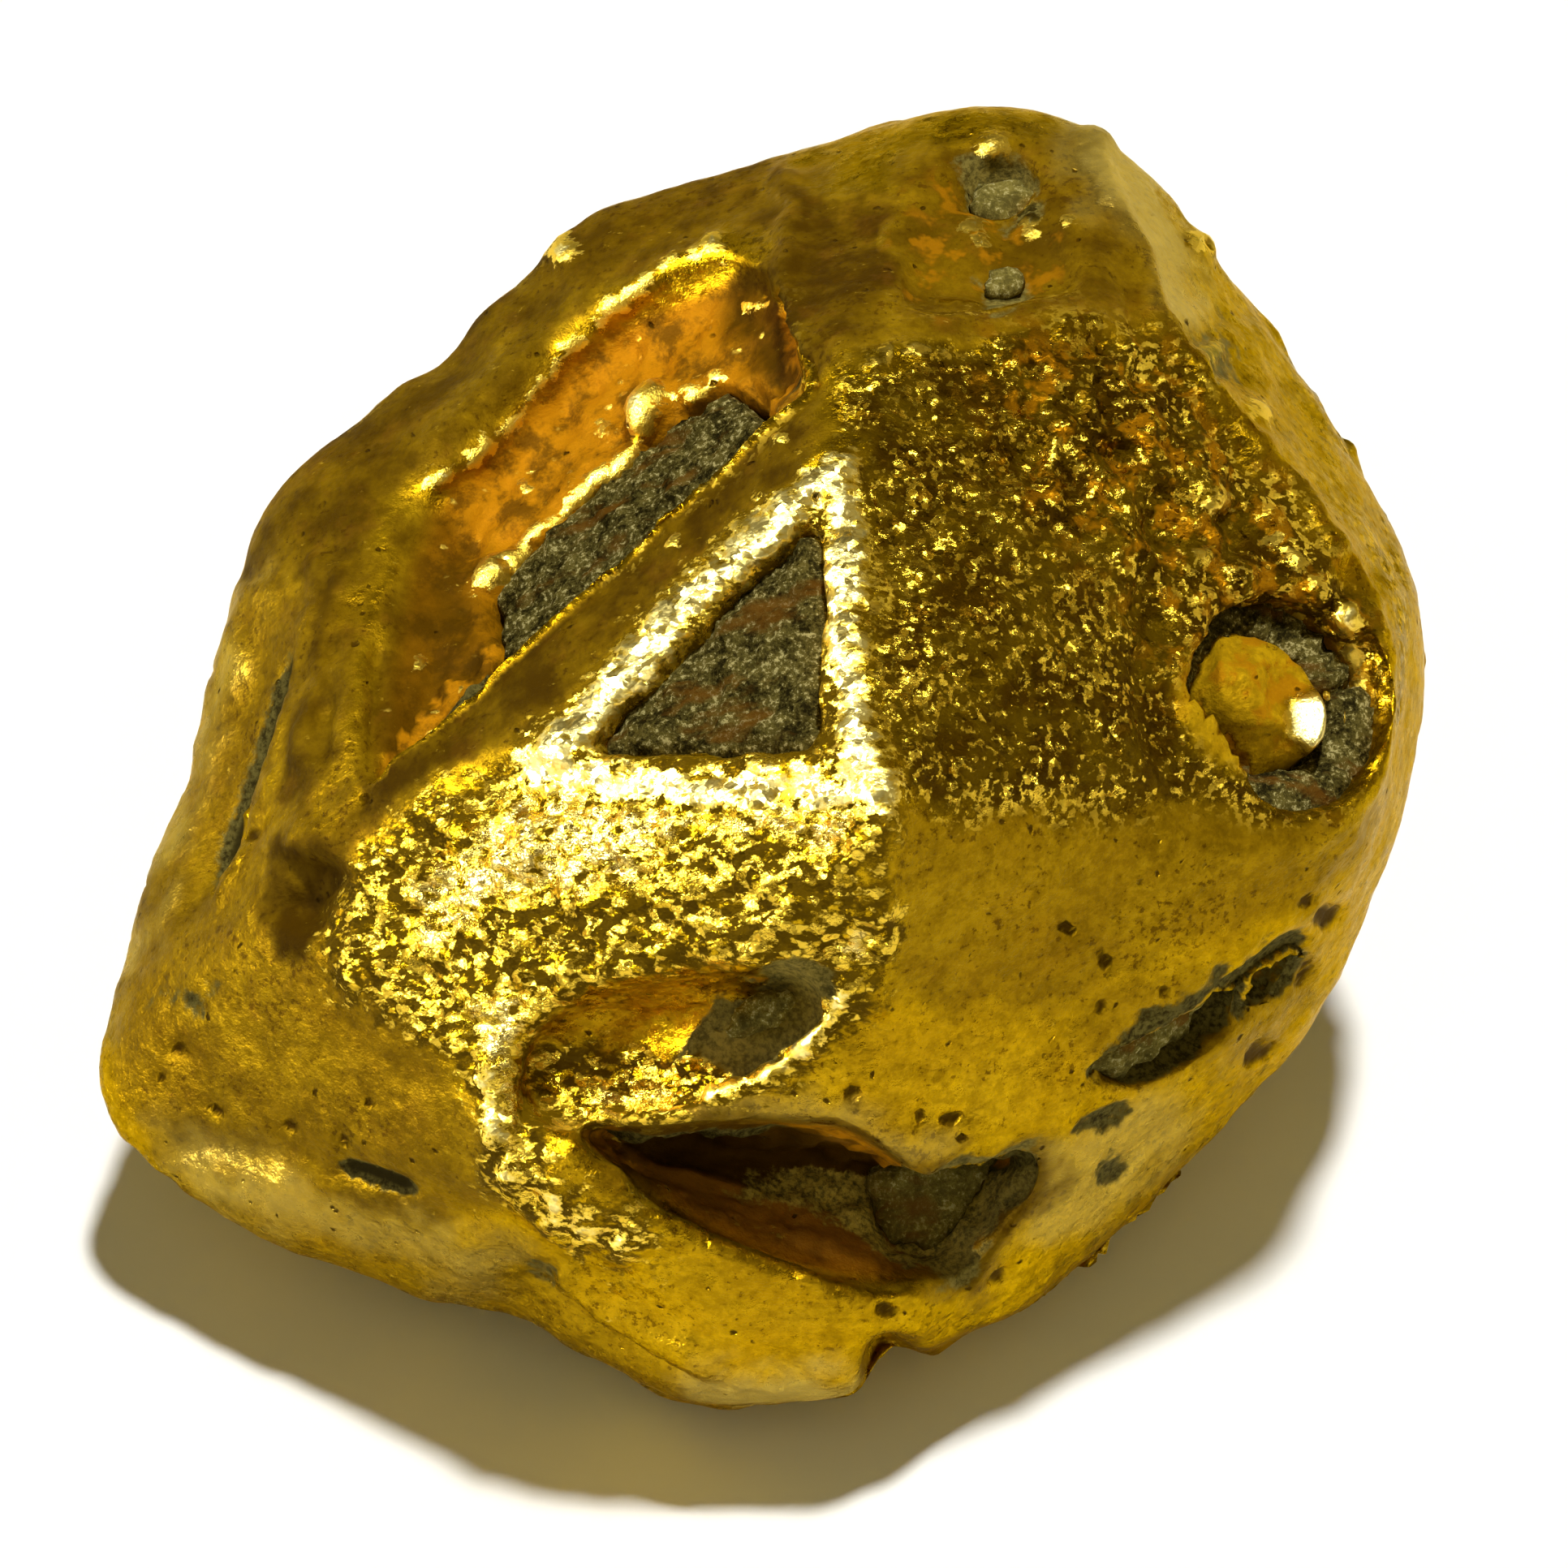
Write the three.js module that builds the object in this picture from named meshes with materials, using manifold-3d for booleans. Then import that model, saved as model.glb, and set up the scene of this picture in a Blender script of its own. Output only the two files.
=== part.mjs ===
// A waterworn crystal of native gold: a distorted octahedron with hoppered faces,
// lying on one flat natural face, with grey rock silt still lodged in its pits.
//
// The crystal is described in its own axes, in millimetres: Z runs out through the
// proud corner (the apex), X across the crystal and Y up it. At the end the whole
// group is tipped about X and lifted, so that it lies on its resting face at Z = 0.

import * as THREE from 'three';
import { ConvexGeometry } from 'three/addons/geometries/ConvexGeometry.js';
import { mergeVertices } from 'three/addons/utils/BufferGeometryUtils.js';
import Module from 'manifold-3d';

// ---------------------------------------------------------------- driving dimensions

const TIP_BACK = 40;             // degrees the apex axis leans back from upright when lying
const REST_HEIGHT = 4.2;         // from the resting face up to the crystal's own origin
const WEAR = 44;                 // how crisp the worn edges are: higher is sharper
const WEAR_ALLOWANCE = 1.02;     // the sharp corners stand this much further out than the worn crystal
const CHORD_ERROR = 0.02;        // how closely the facets follow the worn surface
const SILT_GAP = 0.08;           // clearance between a silt filling and the walls of its pit
const OPEN_ABOVE = 1.5;          // how far a pit's cutter reaches out past the face
const WELD = 1e-5;               // points closer than this are one vertex
const BALL_DETAIL = 6;           // the worn surface starts from a ball this fine
const REFINE_PASSES = 3;         // and is split at most this many times

// Corners of the sharp crystal, [x, y, z].
const corner = {
  // Corners of the proud faces that meet at the apex.
  apex: [0.85, -0.15, 4.45],
  crestTop: [0.3, 3.4, 2.75],
  crestLeft: [-4.0, -0.3, 2.1],
  leftShoulder: [-4.25, -1.4, 1.75],
  frontLow: [-2.25, -3.4, 2.35],
  tongue: [2.4, -3.3, 1.35],
  lobeCrest: [0.7, -5.05, 1.3],
  rightCorner: [5.2, -0.4, 1.55],
  rightUpper: [5.45, 1.5, 1.1],
  browRight: [3.1, 4.1, 1.6],
  browLeft: [0.85, 4.0, 2.1],

  // The girdle, clockwise from the top corner.
  topCorner: [1.95, 6.3, -0.8],
  topRight: [2.75, 6.0, -0.8],
  rightHigh: [4.05, 4.75, -0.9],
  rightBrow: [5.1, 3.2, -0.8],
  rightEdgeHigh: [5.85, 1.4, -0.5],
  rightEdgeLow: [5.8, -0.1, -0.6],
  lowRightHigh: [5.25, -1.75, -1.0],
  lowRight: [4.7, -2.75, -1.2],
  footRight: [2.8, -4.65, -0.6],
  footNotch: [1.4, -5.2, -0.3],
  foot: [0.2, -5.65, 0.4],
  footLeft: [-0.85, -5.45, 0.4],
  bellyLeft: [-2.4, -4.65, 0.0],
  leftFoot: [-4.4, -4.25, -0.4],
  leftFootCorner: [-5.8, -3.6, -0.4],
  leftTip: [-6.4, -2.8, -0.5],
  leftEdgeLow: [-6.1, -1.6, -0.8],
  leftEdge: [-5.35, 0.75, -1.0],
  leftHigh: [-4.8, 2.5, -1.2],
  upperLeft: [-3.6, 3.65, -1.2],
  rimTop: [-1.65, 5.3, -1.3],
  rimTopRight: [-0.1, 5.75, -1.2],

  // The far side, which lies underneath and behind.
  underFrontLeft: [-3.2, -3.8, -2.5],
  underFrontRight: [3.0, -4.0, -2.3],
  underBackRight: [3.4, -1.1, -4.75],
  underBackLeft: [-2.6, -0.65, -5.1],
  underLeft: [-5.0, -2.6, -2.0],
  underRight: [4.4, -2.0, -2.7],
  backTop: [0.7, 3.6, -3.6],
  backLeft: [-3.7, 2.2, -3.3],
  backRight: [4.3, 1.7, -3.2],
};

// ---------------------------------------------------------------- solids

const wasm = await Module();
wasm.setup();

const vector = ([x, y, z]) => new THREE.Vector3(x, y, z);

// A closed three.js geometry as a solid that can be cut and joined.
function solid(geometry) {
  const bare = geometry.clone();
  bare.deleteAttribute('normal');
  bare.deleteAttribute('uv');
  const merged = mergeVertices(bare, WELD);
  const triVerts = merged.index
    ? new Uint32Array(merged.index.array)
    : Uint32Array.from({ length: merged.attributes.position.count }, (_, i) => i);
  const vertProperties = new Float32Array(merged.attributes.position.array);
  return new wasm.Manifold(new wasm.Mesh({ numProp: 3, vertProperties, triVerts }));
}

// A named piece for the group, from a solid.
function piece(name, body, material) {
  const { vertProperties, triVerts } = body.getMesh();
  const geometry = new THREE.BufferGeometry();
  geometry.setAttribute('position', new THREE.BufferAttribute(vertProperties, 3));
  geometry.setIndex(new THREE.BufferAttribute(triVerts, 1));
  geometry.computeVertexNormals();
  const mesh = new THREE.Mesh(geometry, material);
  mesh.name = name;
  return mesh;
}

// ---------------------------------------------------------------- the worn polyhedron

// Planes of the sharp crystal, as outward normal and distance from the origin.
function facePlanes(corners) {
  const hull = new ConvexGeometry(corners.map((corner) => vector(corner).multiplyScalar(WEAR_ALLOWANCE)));
  const position = hull.attributes.position;
  const planes = [];
  for (let i = 0; i < position.count; i += 3) {
    const [a, b, c] = [0, 1, 2].map((k) => new THREE.Vector3().fromBufferAttribute(position, i + k));
    const plane = new THREE.Plane().setFromCoplanarPoints(a, b, c);
    const normal = plane.normal;
    const distance = normal.dot(a);
    planes.push({ normal, distance });
  }
  return planes;
}

// The worn surface in a direction: all faces blended, so that edges come out rounded.
function wornPoint(direction, planes) {
  let sum = 0;
  for (const { normal, distance } of planes) {
    const lean = normal.dot(direction) / distance;
    if (lean > 0) sum += lean ** WEAR;
  }
  return direction.clone().multiplyScalar(sum ** (-1 / WEAR));
}

// Splits triangles along every edge whose middle lies off the worn surface.
function refine(directions, faces, planes) {
  const middles = new Map();
  const middle = (a, b) => {
    const key = a < b ? `${a}_${b}` : `${b}_${a}`;
    if (!middles.has(key)) {
      const direction = directions[a].clone().add(directions[b]).normalize();
      const ends = [directions[a], directions[b]].map((end) => wornPoint(end, planes));
      const chordMiddle = ends[0].add(ends[1]).multiplyScalar(0.5);
      const off = wornPoint(direction, planes).distanceTo(chordMiddle);
      middles.set(key, off > CHORD_ERROR ? directions.push(direction) - 1 : null);
    }
    return middles.get(key);
  };
  const split = [];
  for (const [a, b, c] of faces) {
    const ab = middle(a, b);
    const bc = middle(b, c);
    const ca = middle(c, a);
    const ring = [a, ab, b, bc, c, ca];
    const count = [ab, bc, ca].filter((m) => m !== null).length;
    if (count === 0) split.push([a, b, c]);
    else if (count === 3) split.push([a, ab, ca], [ab, b, bc], [ca, bc, c], [ab, bc, ca]);
    else {
      // Fan from a new middle round the remaining corners.
      const start = ring.findIndex((m, i) => i % 2 === 1 && m !== null);
      const turned = ring.slice(start).concat(ring.slice(0, start)).filter((m) => m !== null);
      for (let i = 1; i + 1 < turned.length; i++) split.push([turned[0], turned[i], turned[i + 1]]);
    }
  }
  return split;
}

function wornCrystal(corners) {
  const planes = facePlanes(corners);
  const ball = mergeVertices(bareIcosahedron(BALL_DETAIL), WELD);
  const position = ball.attributes.position;
  const directions = [];
  for (let i = 0; i < position.count; i++) {
    directions.push(new THREE.Vector3().fromBufferAttribute(position, i).normalize());
  }
  let faces = [];
  for (let i = 0; i < ball.index.count; i += 3) {
    faces.push([ball.index.getX(i), ball.index.getX(i + 1), ball.index.getX(i + 2)]);
  }
  for (let pass = 0; pass < REFINE_PASSES; pass++) faces = refine(directions, faces, planes);
  const geometry = new THREE.BufferGeometry();
  geometry.setAttribute('position', new THREE.Float32BufferAttribute(
    directions.flatMap((direction) => wornPoint(direction, planes).toArray()), 3));
  geometry.setIndex(faces.flat());
  return geometry;
}

function bareIcosahedron(detail) {
  const geometry = new THREE.IcosahedronGeometry(1, detail);
  geometry.deleteAttribute('normal');
  geometry.deleteAttribute('uv');
  return geometry;
}

// ---------------------------------------------------------------- pits

// The face through three corners, its normal pointing out of the crystal.
function faceThrough(a, b, c) {
  const plane = new THREE.Plane().setFromCoplanarPoints(vector(a), vector(b), vector(c));
  return plane.constant > 0 ? plane.negate() : plane;
}

// A point of a face, or of the plane a depth below it, over (x, y).
function onFace(face, [x, y], depth = 0) {
  const { normal, constant } = face;
  const z = -(constant + depth + normal.x * x + normal.y * y) / normal.z;
  return new THREE.Vector3(x, y, z);
}

// An outline moved in towards its middle (or out, for a negative inset).
function shrunk(outline, inset) {
  const middle = outline.reduce((sum, p) => sum.add(p), new THREE.Vector3()).divideScalar(outline.length);
  return outline.map((p) => {
    const arm = p.clone().sub(middle);
    return middle.clone().addScaledVector(arm, 1 - inset / arm.length());
  });
}

// A block with sloping sides, from `top` above the face to `bottom` below it. The outline
// is given at the depth `level`, and the sides lean in by `draft` for each unit of depth.
function block(face, outline, { level = 0, top, bottom, draft = 0.3, inset = 0 }) {
  const drawn = outline.map((point) => onFace(face, point, level));
  const at = (depth) => shrunk(drawn, inset + draft * (depth - level))
    .map((p) => p.addScaledVector(face.normal, level - depth));
  return solid(new ConvexGeometry([...at(top), ...at(bottom)]));
}

const APEX_UPPER_LEFT = faceThrough(corner.apex, corner.crestTop, corner.crestLeft);
const APEX_LOWER_LEFT = faceThrough(corner.apex, corner.crestLeft, corner.frontLow);
const APEX_RIGHT = faceThrough(corner.apex, corner.rightCorner, corner.browRight);
const UPPER_LEFT_FACE = faceThrough(corner.crestTop, corner.crestLeft, corner.rimTop);
const TOP_FACE = faceThrough(corner.browLeft, corner.browRight, corner.topCorner);
const FOOT_FACE = faceThrough(corner.frontLow, corner.tongue, corner.lobeCrest);
const LOW_RIGHT_FACE = faceThrough(corner.tongue, corner.lowRightHigh, corner.footRight);
const LEFT_FACE = faceThrough(corner.crestLeft, corner.leftEdge, corner.leftEdgeLow);

const pits = [];
const fillings = [];

// Cuts a pit; with a silt level, also leaves a filling up to that depth in its bottom.
function pit(face, outline, depth, { silt = null, name = null, draft = 0.3, level = 0 } = {}) {
  pits.push(block(face, outline, { level, top: level - OPEN_ABOVE, bottom: depth, draft }));
  if (silt === null) return;
  const body = block(face, outline, { level, top: silt, bottom: depth - SILT_GAP, draft, inset: SILT_GAP });
  fillings.push({ name, body });
}

// The three-sided etch pit on the upper left apex face.
pit(APEX_UPPER_LEFT, [[0.3, 2.35], [-1.78, 0.28], [0.27, 0.28]], 0.7,
  { silt: 0.32, name: 'pit_silt_triangular', draft: 0.3 });

// The great stepped hopper of the upper left face: a broad first step, then a deep floor.
const HOPPER_STEP = 0.5;
const HOPPER_FLOOR = 1.05;
pit(UPPER_LEFT_FACE,
  [[-3.3, 2.5], [-1.9, 4.1], [-0.6, 4.85], [-0.1, 4.6], [0.15, 3.5], [-3.75, -0.05]], HOPPER_STEP);
pit(UPPER_LEFT_FACE, [[-2.75, 1.85], [-1.25, 3.2], [-0.55, 3.65], [0.0, 3.15], [-2.55, 0.68]], HOPPER_FLOOR,
  { level: HOPPER_STEP, silt: 0.68, name: 'pit_silt_hopper', draft: 0.2 });

// The smooth hollow low on the lower left apex face.
pit(APEX_LOWER_LEFT,
  [[-2.3, -3.0], [-2.15, -2.2], [-1.5, -1.8], [0.25, -1.6], [0.4, -1.9], [-0.6, -2.7], [-1.7, -3.1]], 0.65,
  { draft: 0.9 });
pit(APEX_LOWER_LEFT, [[-0.75, -2.35], [-0.5, -1.8], [0.1, -1.75], [-0.1, -2.2]], 0.75,
  { level: 0.3, silt: 0.55, name: 'pit_silt_hollow', draft: 0.3 });

// The deep groove under the tongue: steep below the tongue's lip, easing out towards the foot.
const GROOVE_LIP = [[-1.7, -3.05], [0.3, -3.25], [1.15, -3.6]];
const GROOVE_FOOT = [[0.95, -4.5], [-0.4, -4.05]];
const GROOVE_DEPTH = 1.1;
const GROOVE_FLARE = 0.5;        // how far the opening widens above the face
const grooveMouth = [...GROOVE_LIP, ...GROOVE_FOOT].map((point) => onFace(FOOT_FACE, point, -OPEN_ABOVE));
pits.push(solid(new ConvexGeometry([
  ...shrunk(grooveMouth, -GROOVE_FLARE),
  ...GROOVE_LIP.map((point) => onFace(FOOT_FACE, point, GROOVE_DEPTH)),
  ...GROOVE_FOOT.map((point) => onFace(FOOT_FACE, point))])));

// The three-sided hollow at the groove's right end.
pit(FOOT_FACE, [[0.75, -3.5], [1.1, -3.6], [2.3, -3.25], [1.65, -4.5], [0.9, -4.4]], 1.2,
  { silt: 0.8, name: 'pit_silt_groove', draft: 0.25 });

// The chain of slits along the low right face.
pit(LOW_RIGHT_FACE, [[2.65, -2.55], [3.6, -1.8], [3.85, -1.75], [3.65, -2.2], [2.95, -2.6]], 0.5,
  { silt: 0.25, name: 'pit_silt_slit', draft: 0.2 });
pit(LOW_RIGHT_FACE, [[4.0, -1.55], [4.3, -1.45], [4.3, -1.7], [4.0, -1.75]], 0.3);

// The shallow dish of the top face, with two specks of silt.
pit(TOP_FACE, [[1.0, 4.8], [1.4, 5.6], [2.1, 5.7], [2.65, 4.35], [1.15, 4.1]], 0.2, { draft: 0.8 });
pit(TOP_FACE, [[1.65, 5.15], [1.75, 5.5], [2.1, 5.55], [2.3, 5.3], [2.0, 5.1]], 0.45,
  { level: 0.15, silt: 0.28, name: 'pit_silt_top_upper', draft: 0.2 });
pit(TOP_FACE, [[1.75, 4.4], [1.8, 4.65], [2.15, 4.65], [2.2, 4.4]], 0.4,
  { level: 0.15, silt: 0.25, name: 'pit_silt_top_lower', draft: 0.2 });

// The fold down the left face.
pit(LEFT_FACE, [[-4.75, 0.15], [-4.65, 0.2], [-5.1, -1.0], [-5.25, -1.1]], 0.45, { draft: 0.05 });

// The round pit by the right corner, with a knob of gold standing in it.
const ROUND_PIT = [4.27, 0.85];
const ROUND_PIT_RADIUS = 0.8;
const ROUND_PIT_DEPTH = 0.55;
const KNOB_RADIUS = 0.56;
const KNOB_RISE = 0.1;           // the knob's top stands this far above the face
const ROUND_STEPS = 28;

// A turned body standing on a face with its axis along the face's normal.
function turned(face, centre, profile) {
  const lathe = new THREE.LatheGeometry(profile.map(([r, h]) => new THREE.Vector2(r, h)), ROUND_STEPS);
  const outwards = new THREE.Quaternion().setFromUnitVectors(new THREE.Vector3(0, 1, 0), face.normal);
  const seat = onFace(face, centre);
  return solid(lathe.applyQuaternion(outwards).translate(seat.x, seat.y, seat.z));
}

// The channel round the knob: in over the knob's dome, down its side, out and up the pit's wall.
pits.push(turned(APEX_RIGHT, ROUND_PIT, [
  [0, OPEN_ABOVE], [0, KNOB_RISE], [KNOB_RADIUS * 0.6, KNOB_RISE * 0.4], [KNOB_RADIUS * 0.9, -0.15],
  [KNOB_RADIUS, -ROUND_PIT_DEPTH], [ROUND_PIT_RADIUS, -ROUND_PIT_DEPTH], [ROUND_PIT_RADIUS, 0],
  [ROUND_PIT_RADIUS * 1.05, OPEN_ABOVE], [0, OPEN_ABOVE]]));

// The silt lies in the channel as a ring.
const RING_INNER = KNOB_RADIUS + SILT_GAP;
const RING_OUTER = ROUND_PIT_RADIUS - SILT_GAP;
const RING_TOP = -0.25;
const RING_BOTTOM = SILT_GAP - ROUND_PIT_DEPTH;
fillings.push({ name: 'pit_silt_round', body: turned(APEX_RIGHT, ROUND_PIT, [
  [RING_INNER, RING_TOP], [RING_INNER, RING_BOTTOM], [RING_OUTER, RING_BOTTOM], [RING_OUTER, RING_TOP],
  [RING_INNER, RING_TOP]]) });

// Growth hoppers on the hidden faces: each pit repeats its face's outline, in steps.
const HOPPER_FLARE = 1.15;       // size of the cutter's open end, against the pit's outline
const HOPPER_TAPER = 0.92;       // size of the floor, against the pit's outline

function growthHopper(corners, steps) {
  const face = faceThrough(corners[0], corners[1], corners[2]);
  const outline = corners.map((corner) => face.projectPoint(vector(corner), new THREE.Vector3()));
  const middle = outline.reduce((sum, p) => sum.add(p), new THREE.Vector3()).divideScalar(outline.length);
  for (const { size, depth } of steps) {
    const ring = (spread, height) => outline.map((p) => middle.clone().lerp(p, spread)
      .addScaledVector(face.normal, height));
    const mouth = ring(size * HOPPER_FLARE, OPEN_ABOVE);
    const floor = ring(size * HOPPER_TAPER, -depth);
    pits.push(solid(new ConvexGeometry([...mouth, ...floor])));
  }
}

growthHopper([corner.rimTopRight, corner.backTop, corner.backLeft, corner.upperLeft],
  [{ size: 0.62, depth: 0.45 }, { size: 0.4, depth: 0.9 }]);
growthHopper([corner.rightHigh, corner.backTop, corner.backRight, corner.rightEdgeHigh],
  [{ size: 0.55, depth: 0.4 }]);
growthHopper([corner.leftEdgeLow, corner.backLeft, corner.underBackLeft, corner.underLeft],
  [{ size: 0.6, depth: 0.4 }, { size: 0.36, depth: 0.8 }]);

// ---------------------------------------------------------------- the resting face

// A slab under the crystal, level when the crystal lies tipped back.
function belowRestingFace() {
  const REACH = 30;
  const slab = new THREE.BoxGeometry(REACH, REACH, REACH).translate(0, 0, -REACH / 2 - REST_HEIGHT);
  return solid(slab.rotateX(-THREE.MathUtils.degToRad(TIP_BACK)));
}

const crystal = [...pits, belowRestingFace()].reduce(
  (body, cutter) => body.subtract(cutter),
  solid(wornCrystal(Object.values(corner))));

// ---------------------------------------------------------------- the finished group

const gold = new THREE.MeshStandardMaterial({ color: 0xd9a521, roughness: 0.35, metalness: 1 });
const silt = new THREE.MeshStandardMaterial({ color: 0x6b6250, roughness: 0.95, metalness: 0 });

const group = new THREE.Group();
group.add(piece('gold_crystal', crystal, gold));
for (const { name, body } of fillings) group.add(piece(name, body, silt));
group.rotation.x = THREE.MathUtils.degToRad(TIP_BACK);
group.position.z = REST_HEIGHT;

export default group;
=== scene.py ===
"""A waterworn, hoppered crystal of native gold with rock silt in its pits, on a studio floor."""

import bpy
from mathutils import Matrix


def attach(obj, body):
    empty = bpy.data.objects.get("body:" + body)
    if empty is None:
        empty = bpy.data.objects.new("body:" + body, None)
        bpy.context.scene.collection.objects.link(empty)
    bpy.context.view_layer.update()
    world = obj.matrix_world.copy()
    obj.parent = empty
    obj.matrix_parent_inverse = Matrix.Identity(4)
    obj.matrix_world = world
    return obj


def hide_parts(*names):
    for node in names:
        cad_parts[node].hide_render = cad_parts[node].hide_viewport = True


bl_info = {
    "name": "Gold Crystal",
    "version": (1, 0, 0),
    "blender": (4, 5, 0),
    "location": "View3D > Sidebar > Gold Crystal",
    "description": "Builds a waterworn crystal of native gold, its silt fillings and a studio stage",
    "category": "Object",
}

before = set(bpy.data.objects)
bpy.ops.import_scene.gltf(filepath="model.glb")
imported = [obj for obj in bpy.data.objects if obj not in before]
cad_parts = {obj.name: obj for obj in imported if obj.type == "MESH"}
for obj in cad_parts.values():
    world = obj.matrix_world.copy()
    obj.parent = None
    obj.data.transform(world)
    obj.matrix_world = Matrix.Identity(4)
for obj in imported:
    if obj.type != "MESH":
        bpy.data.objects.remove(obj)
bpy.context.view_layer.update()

import functools
import itertools
import math

import bmesh
import bpy
import numpy as np
from bpy.props import FloatProperty, FloatVectorProperty, IntProperty, PointerProperty
from mathutils import Vector

# ------------------------------------------------------------------ the crystal's own axes
# The crystal lies tipped back. In its own axes Z runs out through the proud corner, X across
# and Y up it, in millimetres, with the origin in its middle.

MM = 0.001
TIP_BACK = math.radians(40)
REST_HEIGHT = 4.2
EYE_DISTANCE = 78.0          # from the crystal's middle to the eye, along its Z axis

# Sculpted lines are drawn on a plane through the crystal's middle, square to its Z axis, and
# thrown onto the surface from the eye. Each ridge has its path, width, height, beading and shine,
# the painted highlight on its crest.
FIRST_LIP = [(-3.24, 2.66), (-2.28, 3.31), (-2.22, 3.53), (-1.52, 4.24), (-1.13, 4.68), (-0.59, 4.84)]
RIDGES = {
    "rim of the triangular pit": ([(0.42, 2.78), (-0.3, 2.12), (-0.98, 1.46), (-2.02, 0.3), (-2.22, 0.12),
        (-1.2, 0.02), (0.0, -0.03), (0.83, -0.07), (0.66, 0.1), (0.58, 1.02), (0.53, 2.77), (0.42, 2.78)],
        0.23, 0.09, 0.15, 1.0),
    "first lip of the hopper": (FIRST_LIP, 0.1, 0.02, 0.3, 0.0),
    "second lip of the hopper": ([(-2.44, 1.61), (-2.66, 1.79), (-2.37, 2.01), (-1.93, 2.37),
        (-1.35, 2.95), (-1.06, 3.43), (-0.63, 3.55)], 0.11, 0.08, 0.3, 0.0),
    "front edge": ([(-2.66, -2.36), (-2.6, -3.1), (-2.45, -3.45), (-1.93, -3.81), (-1.13, -4.15)], 0.15,
        0.09, 0.7, 0.85),
    "rim of the hollow": ([(0.54, -1.77), (0.25, -2.36), (-0.48, -2.72), (-1.35, -2.98)], 0.12, 0.07, 0.6,
        0.8),
    "lobe ridge": ([(-2.14, -4.33), (-1.58, -4.72), (-1.05, -4.93), (-0.4, -5.2), (0.1, -5.35)], 0.12,
        0.09, 0.2, 0.2),
    "lower edge of the low left face": ([(-5.7, -3.34), (-4.9, -3.42), (-4.31, -3.53), (-3.6, -3.74),
        (-2.8, -3.95), (-2.14, -4.33)], 0.16, 0.07, 0.3, 0.1),
    "light fold of the left face": ([(-4.11, 2.11), (-4.24, 1.45), (-4.52, 0.62), (-4.8, -0.25),
        (-5.14, -1.15)], 0.08, 0.09, 0.1, 0.0),
    "upper fold of the left face": ([(-3.95, 2.05), (-4.08, 1.35), (-4.22, 0.6), (-4.4, 0.05)], 0.1, 0.09,
        0.2, 0.0),
    "outer fold of the left face": ([(-4.62, 1.85), (-4.92, 1.21), (-5.24, 0.3), (-5.52, -0.6),
        (-5.75, -1.4)], 0.14, 0.07, 0.1, 0.0),
    "streak of the left face": ([(-3.92, 1.17), (-4.15, 1.03)], 0.07, 0.06, 0.0, 0.4),
    "left rim of the round pit": ([(4.2, 1.98), (3.7, 1.6), (3.55, 1.0), (3.75, 0.4), (4.2, 0.0)], 0.12,
        0.07, 0.6, 0.3),
    "lower edge of the top dish": ([(1.02, 4.2), (1.45, 4.2), (1.88, 4.2), (2.3, 4.36), (2.65, 4.4)], 0.07,
        0.035, 0.1, 0.2),
    "left edge of the top dish": ([(0.96, 5.1), (1.0, 4.6), (1.05, 4.22)], 0.08, 0.03, 0.1, 0.1),
    "left edge of the top": ([(0.13, 5.55), (-0.01, 4.91), (0.03, 4.25), (0.2, 3.8)], 0.14, 0.11, 0.0,
        0.0),
    "edge of the far strip": ([(2.63, 5.9), (3.05, 5.0), (3.39, 4.12), (3.95, 3.45), (4.51, 2.77),
        (5.1, 2.0)], 0.09, 0.11, 0.2, 0.0),
    "upper lip of the groove": ([(-1.6, -3.06), (-0.5, -3.1), (0.2, -3.22), (0.8, -3.55), (1.19, -3.62),
        (1.7, -3.45), (2.36, -3.25)], 0.14, 0.05, 0.1, 0.0),
    "first band below the groove": ([(-1.68, -3.45), (-0.7, -3.84), (0.2, -4.15), (0.9, -4.4)], 0.08, 0.07,
        0.3, 0.2),
    "second band below the groove": ([(-1.5, -3.72), (-0.7, -4.1), (0.0, -4.35), (0.6, -4.6)], 0.08, 0.06,
        0.3, 0.0),
}

# Lines of bright beads: path, spacing and bead radius.
BEADED = {
    "first lip of the hopper": (FIRST_LIP, 0.15, 0.085),
    "second lip of the hopper": ([(-2.46, 1.66), (-2.7, 1.84), (-2.41, 2.06), (-1.97, 2.42), (-1.39, 3.0),
        (-1.1, 3.48)], 0.13, 0.11),
    "end of the second lip": ([(-1.2, 3.15), (-0.9, 3.4), (-0.65, 3.6)], 0.12, 0.06),
    "right corner": ([(4.32, 2.3), (4.61, 2.01), (4.97, 1.5), (5.16, 0.99), (5.19, 0.48)], 0.17, 0.09),
    "rim of the hollow": ([(0.4, -2.1), (0.2, -2.38), (-0.48, -2.74), (-1.2, -2.95)], 0.13, 0.06),
    "top of the right face": ([(0.75, 3.75), (1.1, 3.9), (1.5, 3.85)], 0.16, 0.06),
}

# Sharp edges where two faces meet, raised to a crease: path, width, height.
EDGES = {
    "down from the proud corner": ([(0.9, -0.1), (0.9, -0.9), (0.9, -1.56), (0.7, -2.2)], 0.2, 0.1),
    "left edge of the big bright face": ([(-4.05, -1.3), (-3.75, -1.85), (-3.2, -2.2), (-2.7, -2.5)], 0.2,
        0.08),
    "top of the right face": ([(0.61, 3.61), (1.19, 3.95), (2.06, 4.04), (3.16, 4.11)], 0.12, 0.06),
    "edge of the low right face": ([(5.26, -0.32), (4.61, -1.05), (3.88, -1.77), (2.72, -2.57),
        (2.36, -3.3)], 0.22, 0.08),
}

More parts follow.
